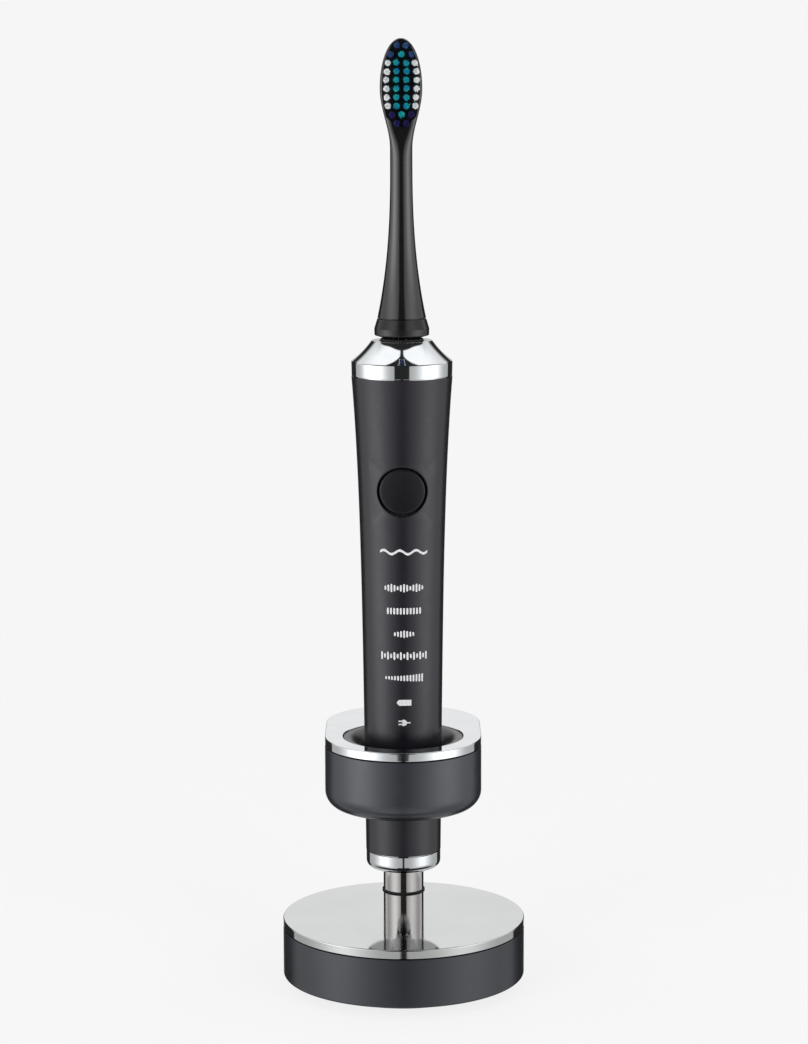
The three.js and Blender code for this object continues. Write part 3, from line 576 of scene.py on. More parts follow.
def build_mirror_plate():
    """The round polished plate. Its hole for the pole is off centre, so its loops are matched by angle."""
    top = BASE_PLATE.top
    under = top - MIRROR_THICKNESS
    outer = rounded([
        (BASE_PLATE.radius - 2, under),
        (BASE_PLATE.radius - 2, BASE_PLATE.bottom),
        (BASE_PLATE.radius, BASE_PLATE.bottom, 0.15),
        (BASE_PLATE.radius, top, 0.3),
        (BASE_PLATE.radius - 3, top),
    ])
    loops = [circle(r, z, 0, 192) for r, z in outer]
    hole = POLE.radius + 0.12
    loops.append(around(loops[-1], POLE_Y, hole, top))
    loops.append(around(loops[-1], POLE_Y, hole, under))
    plate = closed_ring("base_mirror_plate", loops)
    return finish_piece(plate, "stand", MIRROR, "chrome", "base_top_plate")


def around(loop, centre_y, radius, z):
    """A circle about (0, centre_y) whose points lie towards those of a loop round it."""
    points = []
    for x, y, _ in loop:
        reach = math.hypot(x, y - centre_y)
        points.append((radius * x / reach, centre_y + radius * (y - centre_y) / reach, z))
    return points


def build_foot():
    """The rubber foot: a disc with a rounded edge and two shallow grooves underneath."""
    groove = [(r, z, 0.12) for start in (12, 19) for r, z in
              ((start, 0), (start, 0.5), (start + 1.4, 0.5), (start + 1.4, 0))]
    profile = rounded([
        (0, 0),
        *groove,
        (FOOT.radius, 0, 0.6),
        (FOOT.radius, FOOT.top, 0.2),
        (0, FOOT.top),
    ])
    foot = turned("foot_disc", profile, 0, 128)
    return finish_piece(foot, "stand", RUBBER, "rubber", "foot_pad")


def build_inlet():
    body = block_along_y(
        "inlet_body", INLET.right, INLET_HALF_HEIGHT, 0.7, INLET.front, INLET.back, INLET_Z)
    bore = Skin()
    bore.round_bar(INLET_Z, 48, ((2.85, INLET.front + 1.2), (2.85, INLET.back - 0.4), (3.25, INLET.back + 1)))
    cut_away(body, bore.mesh("inlet_bore"))
    finish_piece(body, "stand", INNER_PLASTIC, "inner_plastic", "power_inlet")
    pin = Skin()
    pin.round_bar(INLET_Z, 24, ((0.65, INLET_PIN.front), (0.65, INLET_PIN.back - 0.3), (0.4, INLET_PIN.back)))
    finish_piece(pin.mesh("inlet_contact"), "stand", SHAFT_STEEL, "steel", "inlet_pin")


def build_pole():
    profile = rounded([
        (PIPE_BORE, POLE.bottom),
        (POLE.radius, POLE.bottom, 0.3),
        (POLE.radius, POLE.top, 0.3),
        (PIPE_BORE, POLE.top),
    ])
    tube = turned("pole_tube", profile, POLE_Y, 96)
    finish_piece(tube, "stand", STEEL, "steel", "pole")
    inner, outer = POLE.radius + 0.08, POLE.radius + 0.34
    low, high = BASE_PLATE.top + 0.02, BASE_PLATE.top + 0.5
    ring = rounded([
        (inner, low, 0.05),
        (outer, low, 0.1),
        (outer, high, 0.25),
        (inner, high, 0.05),
    ])
    gasket = turned("pole_gasket_ring", ring, POLE_Y, 96)
    finish_piece(gasket, "stand", RUBBER, "rubber", "pole_gasket")


# ---- the charging ring

def oval(radius, z, arc_steps=56, side_steps=8):
    """Half circles about the handle and the pole, joined by straight sides."""
    points = []
    for turn, side, near, far in ((math.pi, radius, HANDLE_Y, POLE_Y), (0, -radius, POLE_Y, HANDLE_Y)):
        for i in range(arc_steps):
            angle = turn + math.pi * i / arc_steps
            points.append((radius * math.cos(angle), near + radius * math.sin(angle), z))
        for i in range(side_steps):
            points.append((side, near + (far - near) * i / side_steps, z))
    return points


def ring_loops(outer, inner):
    """Loops over an oval outside, given as (inset, z), then a round inside, given as (radius, z)."""
    loops = [oval(RING_RADIUS - inset, z) for inset, z in outer]
    loops += [around(loops[-1], HANDLE_Y, r, z) for r, z in inner]
    return loops


def build_ring_body():
    """The hollow oval body: rounded below, with a bore for the handle."""
    outer = rounded([
        (8, RING.bottom),
        (0, RING.bottom, 5),
        (0, RING.top, 0.2),
        (2, RING.top, 0.2),
        (2, RING_FLOOR, 2),
        (8, RING_FLOOR),
    ], steps=10)
    inner = rounded([
        (BORE_RADIUS + 1, RING_FLOOR),
        (BORE_RADIUS, RING_FLOOR, 0.2),
        (BORE_RADIUS, RING.bottom, 0.45),
        (BORE_RADIUS + 1, RING.bottom),
    ])
    body = closed_ring("ring_body", ring_loops(outer, inner))
    return finish_piece(body, "stand", SATIN_CHARCOAL, "satin_charcoal", "charger_body")


def build_ring_plate():
    """The polished plate on the ring, with its rim and round mouth."""
    top = RING_PLATE.top
    under = top - RING_PLATE_THICKNESS
    outer = rounded([
        (4, under),
        (1.6, under),
        (1.6, RING_PLATE.bottom, 0.1),
        (0, RING_PLATE.bottom, 0.15),
        (0, top, 0.3),
        (4, top),
    ])
    inner = rounded([
        (MOUTH_RADIUS + 0.6, top),
        (MOUTH_RADIUS, top, 0.22),
        (MOUTH_RADIUS, under),
        (MOUTH_RADIUS + 0.6, under),
    ])
    plate = closed_ring("ring_plate", ring_loops(outer, inner))
    return finish_piece(plate, "stand", CHROME, "chrome", "charger_top_plate")


def build_liner():
    """The bowl inside the mouth: it turns over from a level lip into the upright bore, like a trumpet."""
    lip = LINER.top
    lip_radius = MOUTH_RADIUS - 0.6
    throat = lip - BOWL_DEPTH
    flange = RING_PLATE.top - RING_PLATE_THICKNESS - SEAM
    steps = 24
    bowl = [
        (lip_radius - (lip_radius - BORE_RADIUS) * math.sin(t), throat + BOWL_DEPTH * math.cos(t))
        for t in (math.pi / 2 * i / steps for i in range(1, steps + 1))
    ]
    profile = rounded([
        (BORE_RADIUS, LINER.bottom, 0.2),
        (BORE_RADIUS + 1, LINER.bottom),
        (BORE_RADIUS + 1, throat, 1),
        (BORE_RADIUS + 3, flange - 1.2, 0.5),
        (LINER.radius, flange - 1.2),
        (LINER.radius, flange),
        (MOUTH_RADIUS - 0.2, flange),
        (MOUTH_RADIUS - 0.2, lip, 0.1),
        (lip_radius, lip),
        *bowl,
    ])
    liner = turned("ring_liner", profile, HANDLE_Y, 144)
    return finish_piece(liner, "stand", BOWL_GLOSS, "satin_charcoal", "charger_liner")


# ---- the handle

def handle_radius(z):
    t = (z - HOUSING_FOOT) / (HOUSING_TOP - HOUSING_FOOT)
    return HANDLE_FOOT_RADIUS + HANDLE_TAPER * t + HANDLE_FLARE * t**FLARE_POWER


def on_handle(angle, z, inset=0.0):
    """A point on the handle; angle is measured from the front, towards +X."""
    r = handle_radius(z) - inset
    return (r * math.sin(angle), HANDLE_Y - r * math.cos(angle), z)


COLUMNS = 128
PATCH_COLUMNS = 16  # the patch round the button reaches this many columns either side of the front
PATCH_HEIGHT = 9


def housing_rows():
    """Row heights of the housing's wall, close together round the button."""
    low = [HOUSING.bottom + (BUTTON_Z - PATCH_HEIGHT - HOUSING.bottom) * i / 40 for i in range(40)]
    middle = [BUTTON_Z - PATCH_HEIGHT + i for i in range(2 * PATCH_HEIGHT + 1)]
    start = BUTTON_Z + PATCH_HEIGHT
    high = [start + (HOUSING.top - start) * i / 14 for i in range(1, 15)]
    return low + middle + high, len(low), len(low) + len(middle) - 1


def button_rings(inset):
    """(radius, depth) rings from the patch's edge to the hole; the outer face has a rounded rim."""
    if inset:
        return [(BUTTON_HOLE + 0.4, 0), (BUTTON_HOLE, 0)]
    rim = 0.28
    rounds = [(BUTTON_HOLE + rim * (1 - math.sin(a)), rim * (1 - math.cos(a)))
              for a in (math.pi / 2 * k / 5 for k in range(6))]
    return [(BUTTON_HOLE + 1.2, 0), (BUTTON_HOLE + 0.6, 0), *rounds, (BUTTON_HOLE, 0.8)]


def housing_wall(made, inset):
    """One face of the housing's wall, with a patch of rings round the button hole. Returns its edges."""
    rows, first, last = housing_rows()
    turn = 2 * math.pi / COLUMNS
    angles = [turn * (c - PATCH_COLUMNS) for c in range(COLUMNS)]
    grid = [made.loop([on_handle(angle, z, inset) for angle in angles]) for z in rows]
    width = 2 * PATCH_COLUMNS
    for r in range(len(rows) - 1):
        for c in range(COLUMNS):
            if first <= r < last and c < width:
                continue
            d = (c + 1) % COLUMNS
            made.faces.append((grid[r][c], grid[r][d], grid[r + 1][d], grid[r + 1][c]))
    frame_cells = [(first, c) for c in range(width)]
    frame_cells += [(r, width) for r in range(first, last)]
    frame_cells += [(last, c) for c in range(width, 0, -1)]
    frame_cells += [(r, 0) for r in range(last, first, -1)]
    edge = [grid[r][c] for r, c in frame_cells]
    steps = [(angles[c], rows[r]) for r, c in frame_cells]
    for radius, depth in button_rings(inset):
        ring = made.loop([on_rim(angle, z, radius, inset + depth) for angle, z in steps])
        made.bridge(edge, ring)
        edge = ring
    return grid[0], grid[-1], edge


def on_rim(angle, z, radius, inset):
    """The point of an upright cylinder round the button that lies towards a patch-edge point, this deep."""
    x = handle_radius(z) * math.sin(angle)
    reach = math.hypot(x, z - BUTTON_Z)
    x, z = x * radius / reach, BUTTON_Z + (z - BUTTON_Z) * radius / reach
    return on_handle(math.asin(x / (handle_radius(z) - inset)), z, inset)


def build_housing():
    made = Skin()
    outer = housing_wall(made, 0)
    inner = housing_wall(made, HOUSING_WALL)
    for a, b in zip(outer, inner):
        made.bridge(a, b)
    housing = made.mesh("handle_shell", 50)
    return finish_piece(housing, "handle", SATIN_BLACK, "satin_black", "handle_housing")


BUTTON_CURVE = 0.5  # the curvature of the button's face, as a share of the handle's
BUTTON_SINK = 0.6  # how deep the middle of the face lies
BUTTON_DISH = 0.15
BUTTON_EDGE = 0.35
BUTTON_BACK = 1.25  # how deep its back lies, which is as curved as the handle
STEM_RADIUS = 1.4


def button_point(radius, turn, depth, curvature):
    """A point of the button, this deep under the handle's front."""
    x, z = radius * math.cos(turn), BUTTON_Z + radius * math.sin(turn)
    reach = handle_radius(z)
    fall = reach - math.sqrt(reach**2 - x**2)
    return (x, HANDLE_Y - reach + curvature * fall + depth, z)


def build_button():
    """A round cap, dished and half as curved as the handle, with a rounded edge and a stem behind."""
    made = Skin()
    flat = BUTTON_RADIUS - BUTTON_EDGE
    rings = [(flat * k / 12, BUTTON_SINK + BUTTON_DISH * (1 - (k / 12) ** 2)) for k in range(1, 13)]
    rings += [(flat + BUTTON_EDGE * math.sin(a), BUTTON_SINK + BUTTON_EDGE * (1 - math.cos(a)))
              for a in (math.pi / 2 * k / 5 for k in range(1, 6))]
    turns = [2 * math.pi * i / 96 for i in range(96)]
    loops = [[button_point(radius, turn, depth, BUTTON_CURVE) for turn in turns] for radius, depth in rings]
    for radius in (BUTTON_RADIUS, STEM_RADIUS):
        loops.append([button_point(radius, turn, BUTTON_BACK, 1) for turn in turns])
    loops.append([
        (STEM_RADIUS * math.cos(turn), BUTTON.back, BUTTON_Z + STEM_RADIUS * math.sin(turn)) for turn in turns
    ])
    done = made.skin(loops)
    made.fan(done[0], button_point(0, 0, BUTTON_SINK + BUTTON_DISH, BUTTON_CURVE))
    made.cap(done[-1])
    cap = made.mesh("button_face", 50)
    return finish_piece(cap, "button", BUTTON_BLACK, "satin_black", "button_cap")


def build_end_cap():
    """The polished foot of the handle, with the spigot that holds its seal."""
    spigot = HANDLE_FOOT_RADIUS - HOUSING_WALL - SEAM
    foot = END_CAP.bottom
    profile = rounded([
        (0, foot),
        (END_CAP.radius, foot, 2),
        (END_CAP.radius, HOUSING_FOOT, 0.12),
        (END_CAP.radius - SEAM_DEPTH, HOUSING_FOOT),
        (END_CAP.radius - SEAM_DEPTH, HOUSING.bottom - SEAM_REST),
        (spigot, HOUSING.bottom - SEAM_REST),
        (spigot, HOUSING_FOOT + 1.4),
        (spigot - 1, HOUSING_FOOT + 1.4),
        (spigot - 1, HOUSING_FOOT + 3.4),
        (spigot, HOUSING_FOOT + 3.4),
        (spigot, END_CAP.top, 0.3),
        (spigot - 1.8, END_CAP.top),
        (spigot - 1.8, foot + 2),
        (0, foot + 2),
    ])
    cap = turned("end_cap", profile, HANDLE_Y, 128)
    return finish_piece(cap, "handle", CHROME, "chrome", "bottom_cap")


CREASE_Z = 181.1
CREASE_SLOPE = 53.5  # how far the bell faces up, in degrees, just above the crease
MOUTH_SLOPE = 34.5  # and at its mouth
LIP_RADIUS = 6.5  # the mouth's thin flat lip reaches in to here
LIP_THICKNESS = 0.5


def bell_points(radius, steps=28):
    """The bell's outline from the crease up, a little hollow: it gets steeper towards the mouth."""
    rise = (SHOULDER.top - CREASE_Z) / steps
    points = [(radius, CREASE_Z)]
    for i in range(steps):
        slope = CREASE_SLOPE + (MOUTH_SLOPE - CREASE_SLOPE) * (i + 0.5) / steps
        radius -= rise * math.tan(math.radians(slope))
        points.append((radius, CREASE_Z + rise * (i + 1)))
    return points


def build_shoulder():
    """The polished shoulder: a straight band, a crisp crease, and a bell up to the mouth."""
    bell = bell_points(SHOULDER.radius - 0.12)
    mouth = bell.pop()[0]
    inside, spigot = 11, 12.4
    groove = mouth - 0.9
    profile = rounded([
        (inside, SHOULDER.bottom),
        (spigot, SHOULDER.bottom, 0.3),
        (spigot, HOUSING.top + SEAM_REST),
        (SHOULDER.radius - SEAM_DEPTH, HOUSING.top + SEAM_REST),
        (SHOULDER.radius - SEAM_DEPTH, HOUSING_TOP),
        (SHOULDER.radius - 0.08, HOUSING_TOP, 0.12),
        (SHOULDER.radius, CREASE_Z - 0.25, 0.1),
        *bell,
        (mouth, SHOULDER.top, 0.06),
        (LIP_RADIUS, SHOULDER.top, 0.1),
        (LIP_RADIUS, SHOULDER.top - LIP_THICKNESS, 0.1),
        (groove, SHOULDER.top - LIP_THICKNESS, 0.1),
        (groove, SHOULDER.top - 3.4, 0.5),
        (inside, 179.6, 0.5),
    ], steps=8)
    cap = turned("shoulder_bell", profile, HANDLE_Y, 160, 22)
    return finish_piece(cap, "handle", CHROME, "chrome", "shoulder_cap")


def build_seal():
    """The rubber boot round the shaft: a flange under the shoulder's lip, a collar, and a fold."""
    flange_top = SHOULDER.top - LIP_THICKNESS - 0.2
    collar_top = SEAL.top - 0.05
    collar = LIP_RADIUS - 0.35
    bore, sleeve = 2.7, 7.36
    cone_foot, cone_top = 179, 183
    profile = rounded([
        (bore, SEAL.bottom),
        (SEAL.radius, SEAL.bottom, 0.3),
        (SEAL.radius, cone_foot, 0.3),
        (sleeve, cone_top, 0.4),
        (sleeve, flange_top, 0.3),
        (collar, flange_top, 0.1),
        (collar, collar_top, 0.3),
        (5.3, collar_top, 0.25),
        (5.1, collar_top - 0.9, 0.25),
        (4.5, collar_top - 0.9, 0.25),
        (4.2, collar_top, 0.25),
        (bore, collar_top, 0.2),
    ])
    seal = turned("shaft_boot", profile, HANDLE_Y, 96)
    return finish_piece(seal, "handle", RUBBER, "rubber", "shaft_seal")


# ---- marks on the front

MARK_LIFT = 0.03
MARK_ROOT = 0.05  # how deep a mark reaches into the housing
MARK_SHIFT = 0.4  # the marks sit a little to the right of the middle


def inked(made, centre_z, columns):
    """A small raised mark, laid on the front of the handle in columns of (arc length, low, high)."""
    def corner(u, v, lift):
        return on_handle((u + MARK_SHIFT) / handle_radius(centre_z), centre_z + v, -lift)

    made.capped([
        [corner(u, low, -MARK_ROOT), corner(u, low, MARK_LIFT),
         corner(u, high, MARK_LIFT), corner(u, high, -MARK_ROOT)]
        for u, low, high in columns
    ])


def tick_row(made, z, width, heights):
    """A row of upright ticks with rounded ends, like a level display, across a width."""
    pitch = width / len(heights)
    half = pitch * 0.29
    for i, height in enumerate(heights):
        u = -width / 2 + pitch * (i + 0.5)
        columns = []
        for k in range(7):
            across = -1 + k / 3
            end = height / 2 - half * (1 - math.sqrt(max(1 - across * across, 0.04)))
            columns.append((u + half * across, -end, end))
        inked(made, z, columns)


def wave_mark(made, z, width, height, waves):
    """A plain wavy ribbon."""
    steps = waves * 16
    thick = 0.36
    columns = []
    for i in range(steps + 1):
        middle = height / 2 * math.sin(2 * math.pi * waves * i / steps)
        columns.append((-width / 2 + width * i / steps, middle - thick, middle + thick))
    inked(made, z, columns)


def steps_between(start, end, step=0.4):
    count = max(1, round((end - start) / step))
    return [start + (end - start) * i / count for i in range(count + 1)]


def bar(made, z, start, end, low, high):
    inked(made, z, [(u, low, high) for u in steps_between(start, end)])


def battery_mark(made, z):
    """A solid battery with a pointed left end."""
    half = 0.86
    columns = [(-2.15, -0.12, 0.12), (-2.0, -0.35, 0.35)]
    columns += [(u, -half, half) for u in steps_between(-1.5, 1.95)]
    columns.append((2.05, -half + 0.12, half - 0.12))
    inked(made, z, columns)


def plug_mark(made, z):
    """A mains plug lying on its side: two prongs, a rounded body and a short tail."""
    inked(made, z, [(-0.6, -0.8, 0.8), (-0.45, -0.92, 0.92), (0, -0.92, 0.92), (0.35, -0.8, 0.8),
                    (0.65, -0.45, 0.45), (0.75, -0.2, 0.2)])
    bar(made, z, 0.7, 1.75, -0.19, 0.19)
    for middle in (-0.47, 0.47):
        bar(made, z, -1.7, -0.55, middle - 0.19, middle + 0.19)


def lamp_height(number):
    lamp = span(f"lamp_{number}")
    return (lamp.bottom + lamp.top) / 2


WAVE_Z = 127.5


def build_marks():
    made = Skin()
    wave_mark(made, WAVE_Z, 14.2, 1.1, 3)
    rows = [
        (11.8, [1.2, 1.9, 2.4, 1.9, 1.2, 1.9, 2.4, 1.9, 1.2, 1.9, 2.4, 1.9, 1.2]),
        (10.4, [1.9] * 11),
        (6.2, [1.1, 1.5, 1.9, 2.2, 1.9, 1.5, 1.1]),
        (14.2, [2.3, 1.3] * 7 + [2.3]),
        (11.6, [0.9 + 0.125 * i for i in range(13)]),
    ]
    for i, (width, heights) in enumerate(rows):
        tick_row(made, lamp_height(i + 1), width, heights)
    battery_mark(made, lamp_height(6))
    plug_mark(made, lamp_height(7))
    marks = made.mesh("front_marks")
    return finish_piece(marks, "handle", INK, "clear_plastic")


# ---- shaft and brush head

def build_shaft():
    """The drive shaft, with a flat on its upper end and the cross pin it rocks on."""
    radius = SHAFT_RADIUS
    flat_from = BRUSH_FOOT.bottom + 4
    flat = 0.7

    def section(r, z, flat_y=None):
        points = circle(r, z, 0, 48)
        limit = -r if flat_y is None else -r * flat_y
        return [(x, HANDLE_Y + max(y, limit), z) for x, y, z in points]

    made = Skin()
    made.capped([
        section(radius - 0.3, SHAFT.bottom),
        section(radius, SHAFT.bottom + 0.3),
        section(radius, flat_from),
        section(radius, flat_from + 0.8, flat),
        section(radius, SHAFT.top - 0.6, flat),
        section(radius - 0.5, SHAFT.top, flat),
    ])
    made.round_bar(PIVOT_Z, 20, [(CROSS_PIN_RADIUS, y) for y in (SHAFT.front, SHAFT.back)])
    shaft = made.mesh("shaft_rod")
    return finish_piece(shaft, "armature", SHAFT_STEEL, "steel", "drive_shaft")


def smooth(z, low, high):
    t = min(max((z - low) / (high - low), 0), 1)
    return t * t * (3 - 2 * t)


def brush_half_width(z):
    if z <= NECK_TOP:
        t = (NECK_TOP - z) / (NECK_TOP - BRUSH_FOOT.top)
        return NECK_RADIUS + (NECK_FOOT_RADIUS - NECK_RADIUS) * t**NECK_POWER
    if z <= WIDEST_Z:
        t = min((WIDEST_Z - z) / WIDEN_SPAN, 1)
        return NECK_RADIUS + (HALF_WIDTH - NECK_RADIUS) * (1 + math.cos(math.pi * t)) / 2
    u = min((z - WIDEST_Z) / (TIP_Z - WIDEST_Z), 1)
    return HALF_WIDTH * (1 - u**TIP_POWER) ** (1 / TIP_POWER)


FRONT_POWER = 0.46  # the lower a power, the squarer that side of the head
BACK_POWER = 0.8


def brush_section(z, count=96):
    """Round in the neck; in the head a flat front with rounded edges and a full back."""
    flat = smooth(z, NECK_TOP, NECK_TOP + 10)
    width = brush_half_width(z)
    u = min(max((z - WIDEST_Z) / (TIP_Z - WIDEST_Z), 0), 1)
    depth = NECK_RADIUS + (HALF_DEPTH - NECK_RADIUS) * flat if z > NECK_TOP else width
    depth *= (1 - u**5) ** 0.2
    points = []
    for i in range(count):
        angle = 2 * math.pi * i / count
        c, s = math.cos(angle), math.sin(angle)
        power = 1 + ((FRONT_POWER if s < 0 else BACK_POWER) - 1) * flat
        x = width * math.copysign(abs(c) ** power, c)
        y = depth * math.copysign(abs(s) ** power, s)
        points.append((x, HANDLE_Y + y, z))
    return points


POCKET_INSET = 0.55
POCKET_DEPTH = 0.8
POCKET_FOOT = 247.5
POCKET_TOP = 271


def face_cutter():
    """The shallow pocket in the head's face, a little inside the head's outline."""
    heights = [POCKET_FOOT + (POCKET_TOP - POCKET_FOOT) * math.sin(math.radians(a)) for a in range(0, 90, 3)]
    side = []
    for z in heights:
        foot = smooth(z, POCKET_FOOT - 1.2, POCKET_FOOT + 2.5)
        side.append(((brush_half_width(z + 0.2) - POCKET_INSET) * foot, z))
    outline = side + [(-x, z) for x, z in reversed(side)]
    floor = HANDLE_Y - HALF_DEPTH + POCKET_DEPTH
    made = Skin()
    made.capped([
        [(x, HANDLE_Y - 6, z) for x, z in outline],
        [(x, floor - 0.25, z) for x, z in outline],
        [(x * 0.97, floor, WIDEST_Z + (z - WIDEST_Z) * 0.985) for x, z in outline],
    ])
    return made.mesh("face_cutter")


def build_brush_body():
    """The neck and head in one skin, with the socket for the shaft inside."""
    made = Skin()
    foot = BRUSH_FOOT.top + SEAM
    heights = [foot + (NECK_TOP - foot) * i / 44 for i in range(45)]
    heights += [NECK_TOP + (WIDEST_Z - NECK_TOP) * i / 30 for i in range(1, 31)]
    heights += [WIDEST_Z + (TIP_Z - WIDEST_Z) * math.sin(math.radians(a)) for a in range(4, 88, 4)]
    low, top = BRUSH.bottom, 207
    socket, spigot = 2.3, 5
    loops = [circle(r, z, HANDLE_Y, 96) for r, z in (
        (socket, top), (socket, low + 0.4), (socket + 0.4, low), (spigot, low), (spigot, foot - 0.15))]
    loops.append([(x * 0.98, HANDLE_Y + (y - HANDLE_Y) * 0.98, foot - 0.1)
                  for x, y, _ in brush_section(foot)])
    loops += [brush_section(z) for z in heights]
    made.capped(loops)
    body = made.mesh("brush_neck_and_head", 45)
    cut_away(body, face_cutter())
    return finish_piece(body, "brush_head", GLOSS_BLACK, "gloss_black", "brush_body")


def build_brush_foot():
    """The ring round the brush's foot: a rounded flare with a shallow bead at its upper edge."""
    top = BRUSH_FOOT.top
    bottom = BRUSH_FOOT.bottom
    radius = BRUSH_FOOT.radius
    profile = rounded([
        (5.3, bottom, 0.1),
        (5.8, bottom, 0.2),
        (radius - 0.04, bottom + 0.6, 0.4),
        (radius, bottom + 2.5, 0.25),
        (NECK_FOOT_RADIUS, top, 0.12),
        (NECK_FOOT_RADIUS - SEAM_DEPTH, top),
        (NECK_FOOT_RADIUS - SEAM_DEPTH, top + SEAM - SEAM_REST),
        (5.3, top + SEAM - SEAM_REST),
    ])
    ring = turned("brush_foot_ring", profile, HANDLE_Y, 96)
    return finish_piece(ring, "brush_head", BRUSH_SATIN, "gloss_black", "brush_ring")


FILAMENT_RADIUS = 0.105
FILAMENTS = 42  # in one tuft
TUFT_RADIUS = 0.84
GOLDEN_TURN = math.pi * (3 - math.sqrt(5))
ROOT_Y = -HALF_DEPTH + POCKET_DEPTH - 0.3
STRAY = 0.14  # the share of filaments that lean away from their tuft


def filament_places(turn):
    """Places of filaments in one round tuft, evenly packed along a spiral."""
    places = []
    for i in range(FILAMENTS):
        reach = TUFT_RADIUS * math.sqrt((i + 0.5) / FILAMENTS)
        angle = turn + GOLDEN_TURN * i
        places.append((reach * math.cos(angle), reach * math.sin(angle)))
    return places


def add_filament(made, root, tip, tip_y):
    """One filament with a rounded end."""
    stations = [
        (ROOT_Y, root, FILAMENT_RADIUS),
        (tip_y + 0.1, tip, FILAMENT_RADIUS),
        (tip_y, tip, FILAMENT_RADIUS * 0.62),
    ]
    turns = [math.pi * k / 3 for k in range(6)]
    made.capped([
        [(x + r * math.cos(t), HANDLE_Y + y, z + r * math.sin(t)) for t in turns]
        for y, (x, z), r in stations
    ])


def add_tuft(made, x, z, tip_y, chance):
    """A round bundle of filaments, turned and leaning a little differently from its neighbours."""
    turn = chance.uniform(0, 2 * math.pi)
    lean_x, lean_z = chance.uniform(0.05, 0.3), chance.uniform(-0.12, 0.12)
    for u, v in filament_places(turn):
        stray = 0.3 if chance.random() < STRAY else 0.07
        tip = (
            x + u + lean_x + chance.uniform(-stray, stray),
            z + v + lean_z + chance.uniform(-stray, stray),
        )
        add_filament(made, (x + u * 0.92, z + v * 0.92), tip, tip_y + chance.uniform(0, 0.5))


def build_tufts(name, places, finish, slot, node, seed):
    chance = random.Random(seed)
    made = Skin()
    for x, z in places:
        add_tuft(made, x, z, TUFT_TIP, chance)
    return finish_piece(made.mesh(name, 60), "brush_head", finish, slot, node)


def both_sides(places):
    return [(side * x, z) for x, z in places for side in (-1, 1)]


def build_bristles():
    for side, word in ((-1, "left"), (1, "right")):
        places = [(side * x, z) for x, z in zip(OUTER_COLUMN, ROW_HEIGHTS)]
        build_tufts(f"bristles_{word}", places, WHITE_NYLON, "white_bristle",
                    f"tufts_outer_{word}", 11 + side)
    centre = both_sides((CENTRE_COLUMN, z) for z in ROW_HEIGHTS)
    centre += [(0, z) for z in CENTRE_ENDS]
    build_tufts("bristles_centre", centre, TEAL_NYLON, "teal_bristle", "tufts_centre", 21)
    tip, heel = both_sides(TIP_PLACES), both_sides(HEEL_PLACES)
    build_tufts("bristles_tip", tip, NAVY_NYLON, "navy_bristle", "tufts_tip", 31)
    build_tufts("bristles_heel", heel, HEEL_NYLON, "navy_bristle", "tufts_heel", 41)


# ---- studio

CAMERA_PLACE = (0.46, -837.1, 269.25)
CAMERA_PITCH = 9.06  # degrees down
CAMERA_ROLL = -0.18
FOCAL_LENGTH = 102.551724
SENSOR = 36  # along the frame's longer side
BACKDROP = 0.922  # the pale tone of floor and backdrop


def build_camera():
    data = bpy.data.cameras.new("camera")
    data.sensor_width = SENSOR
    data.lens = FOCAL_LENGTH
    camera = add_object("camera", data)
    camera.location = Vector(CAMERA_PLACE) * MM
    tilt = Euler((math.radians(90 - CAMERA_PITCH), 0, 0)).to_matrix()
    roll = Euler((0, 0, math.radians(CAMERA_ROLL))).to_matrix()
    camera.rotation_euler = (tilt @ roll).to_euler()
    bpy.context.scene.camera = camera


FLOOR_GLOW = 0.83
FLOOR_EDGE = 0.7  # metres from the middle to where the floor has faded into the backdrop


def build_floor():
    """A plain pale floor that fades into the backdrop. Mirrors see the studio's light cards through it."""
    made = Skin()
    loops = made.skin([circle(r, 0, 0, 96) for r in (100, 400, 1000 * FLOOR_EDGE)])
    made.cap(loops[0])
    floor = made.mesh("floor")
    shade = Shader("floor_paper")
    shade.colours(shade.spread(shade.noise(30, 3), 0, 1), (0.098, 0.098, 0.098), (0.102, 0.102, 0.102))
    shade.set(roughness=0.95, specular_ior_level=0)
    shade.set(emission_color=(1, 1, 1, 1), emission_strength=FLOOR_GLOW)
    reach = shade.node("ShaderNodeVectorMath", {0: shade.where}, operation="LENGTH").outputs["Value"]
    fade = Value(shade.tree, reach).rise(FLOOR_EDGE, FLOOR_EDGE * 0.3)
    shade.link(fade.socket, "Alpha")
    floor.data.materials.append(shade.material)
    floor.visible_glossy = False


def degrees(*angles):
    return [math.radians(angle) for angle in angles]


# Heights are angles over the horizon, and turns are angles round from the camera. A pair of them is where
# something starts to rise or fall and where that ends. The rest are parts of a unit direction.
GLOW_AT, GLOW_WIDTH = degrees(70, 26)  # the turn where the side cards are brightest, and how widely
LEVEL_MIDDLE, LEVEL_REACH = degrees(-4, 4)  # above and below these heights the bright part comes forward
GLOW_LEAD = 1.1  # by this many degrees a degree
GLOW = 2.15
GLOW_LEAN = 0.13  # the left card is this much brighter than the mean, the right one darker
GLOW_TOP = degrees(65, 25)
GLOW_FOOT = degrees(-18, -12.5)
FOOT_LEFT = 0.25  # what is left of the glow under its foot
HIGH_FROM, HIGH_TO = degrees(2, 14), degrees(40, 25)  # a dimmer band just above the horizon
HIGH_LOSS = 0.6  # how much of the glow it loses
FILL = 0.58  # the cards' level away from their bright part
BACK_LIGHT = 1.06  # the level behind the object, above the horizon
BACK_FROM, BACK_TURN = degrees(7, 12), degrees(95, 125)
TOP_LIGHT = 1.55  # the level above it
TOP_FROM = degrees(30, 60)
GAPS = [  # the dark gaps in front between the cards: height of the middle, reach up and down, half width
    (*degrees(0.5, 14.6), 0.34),
    (*degrees(24, 16), 0.3),
]
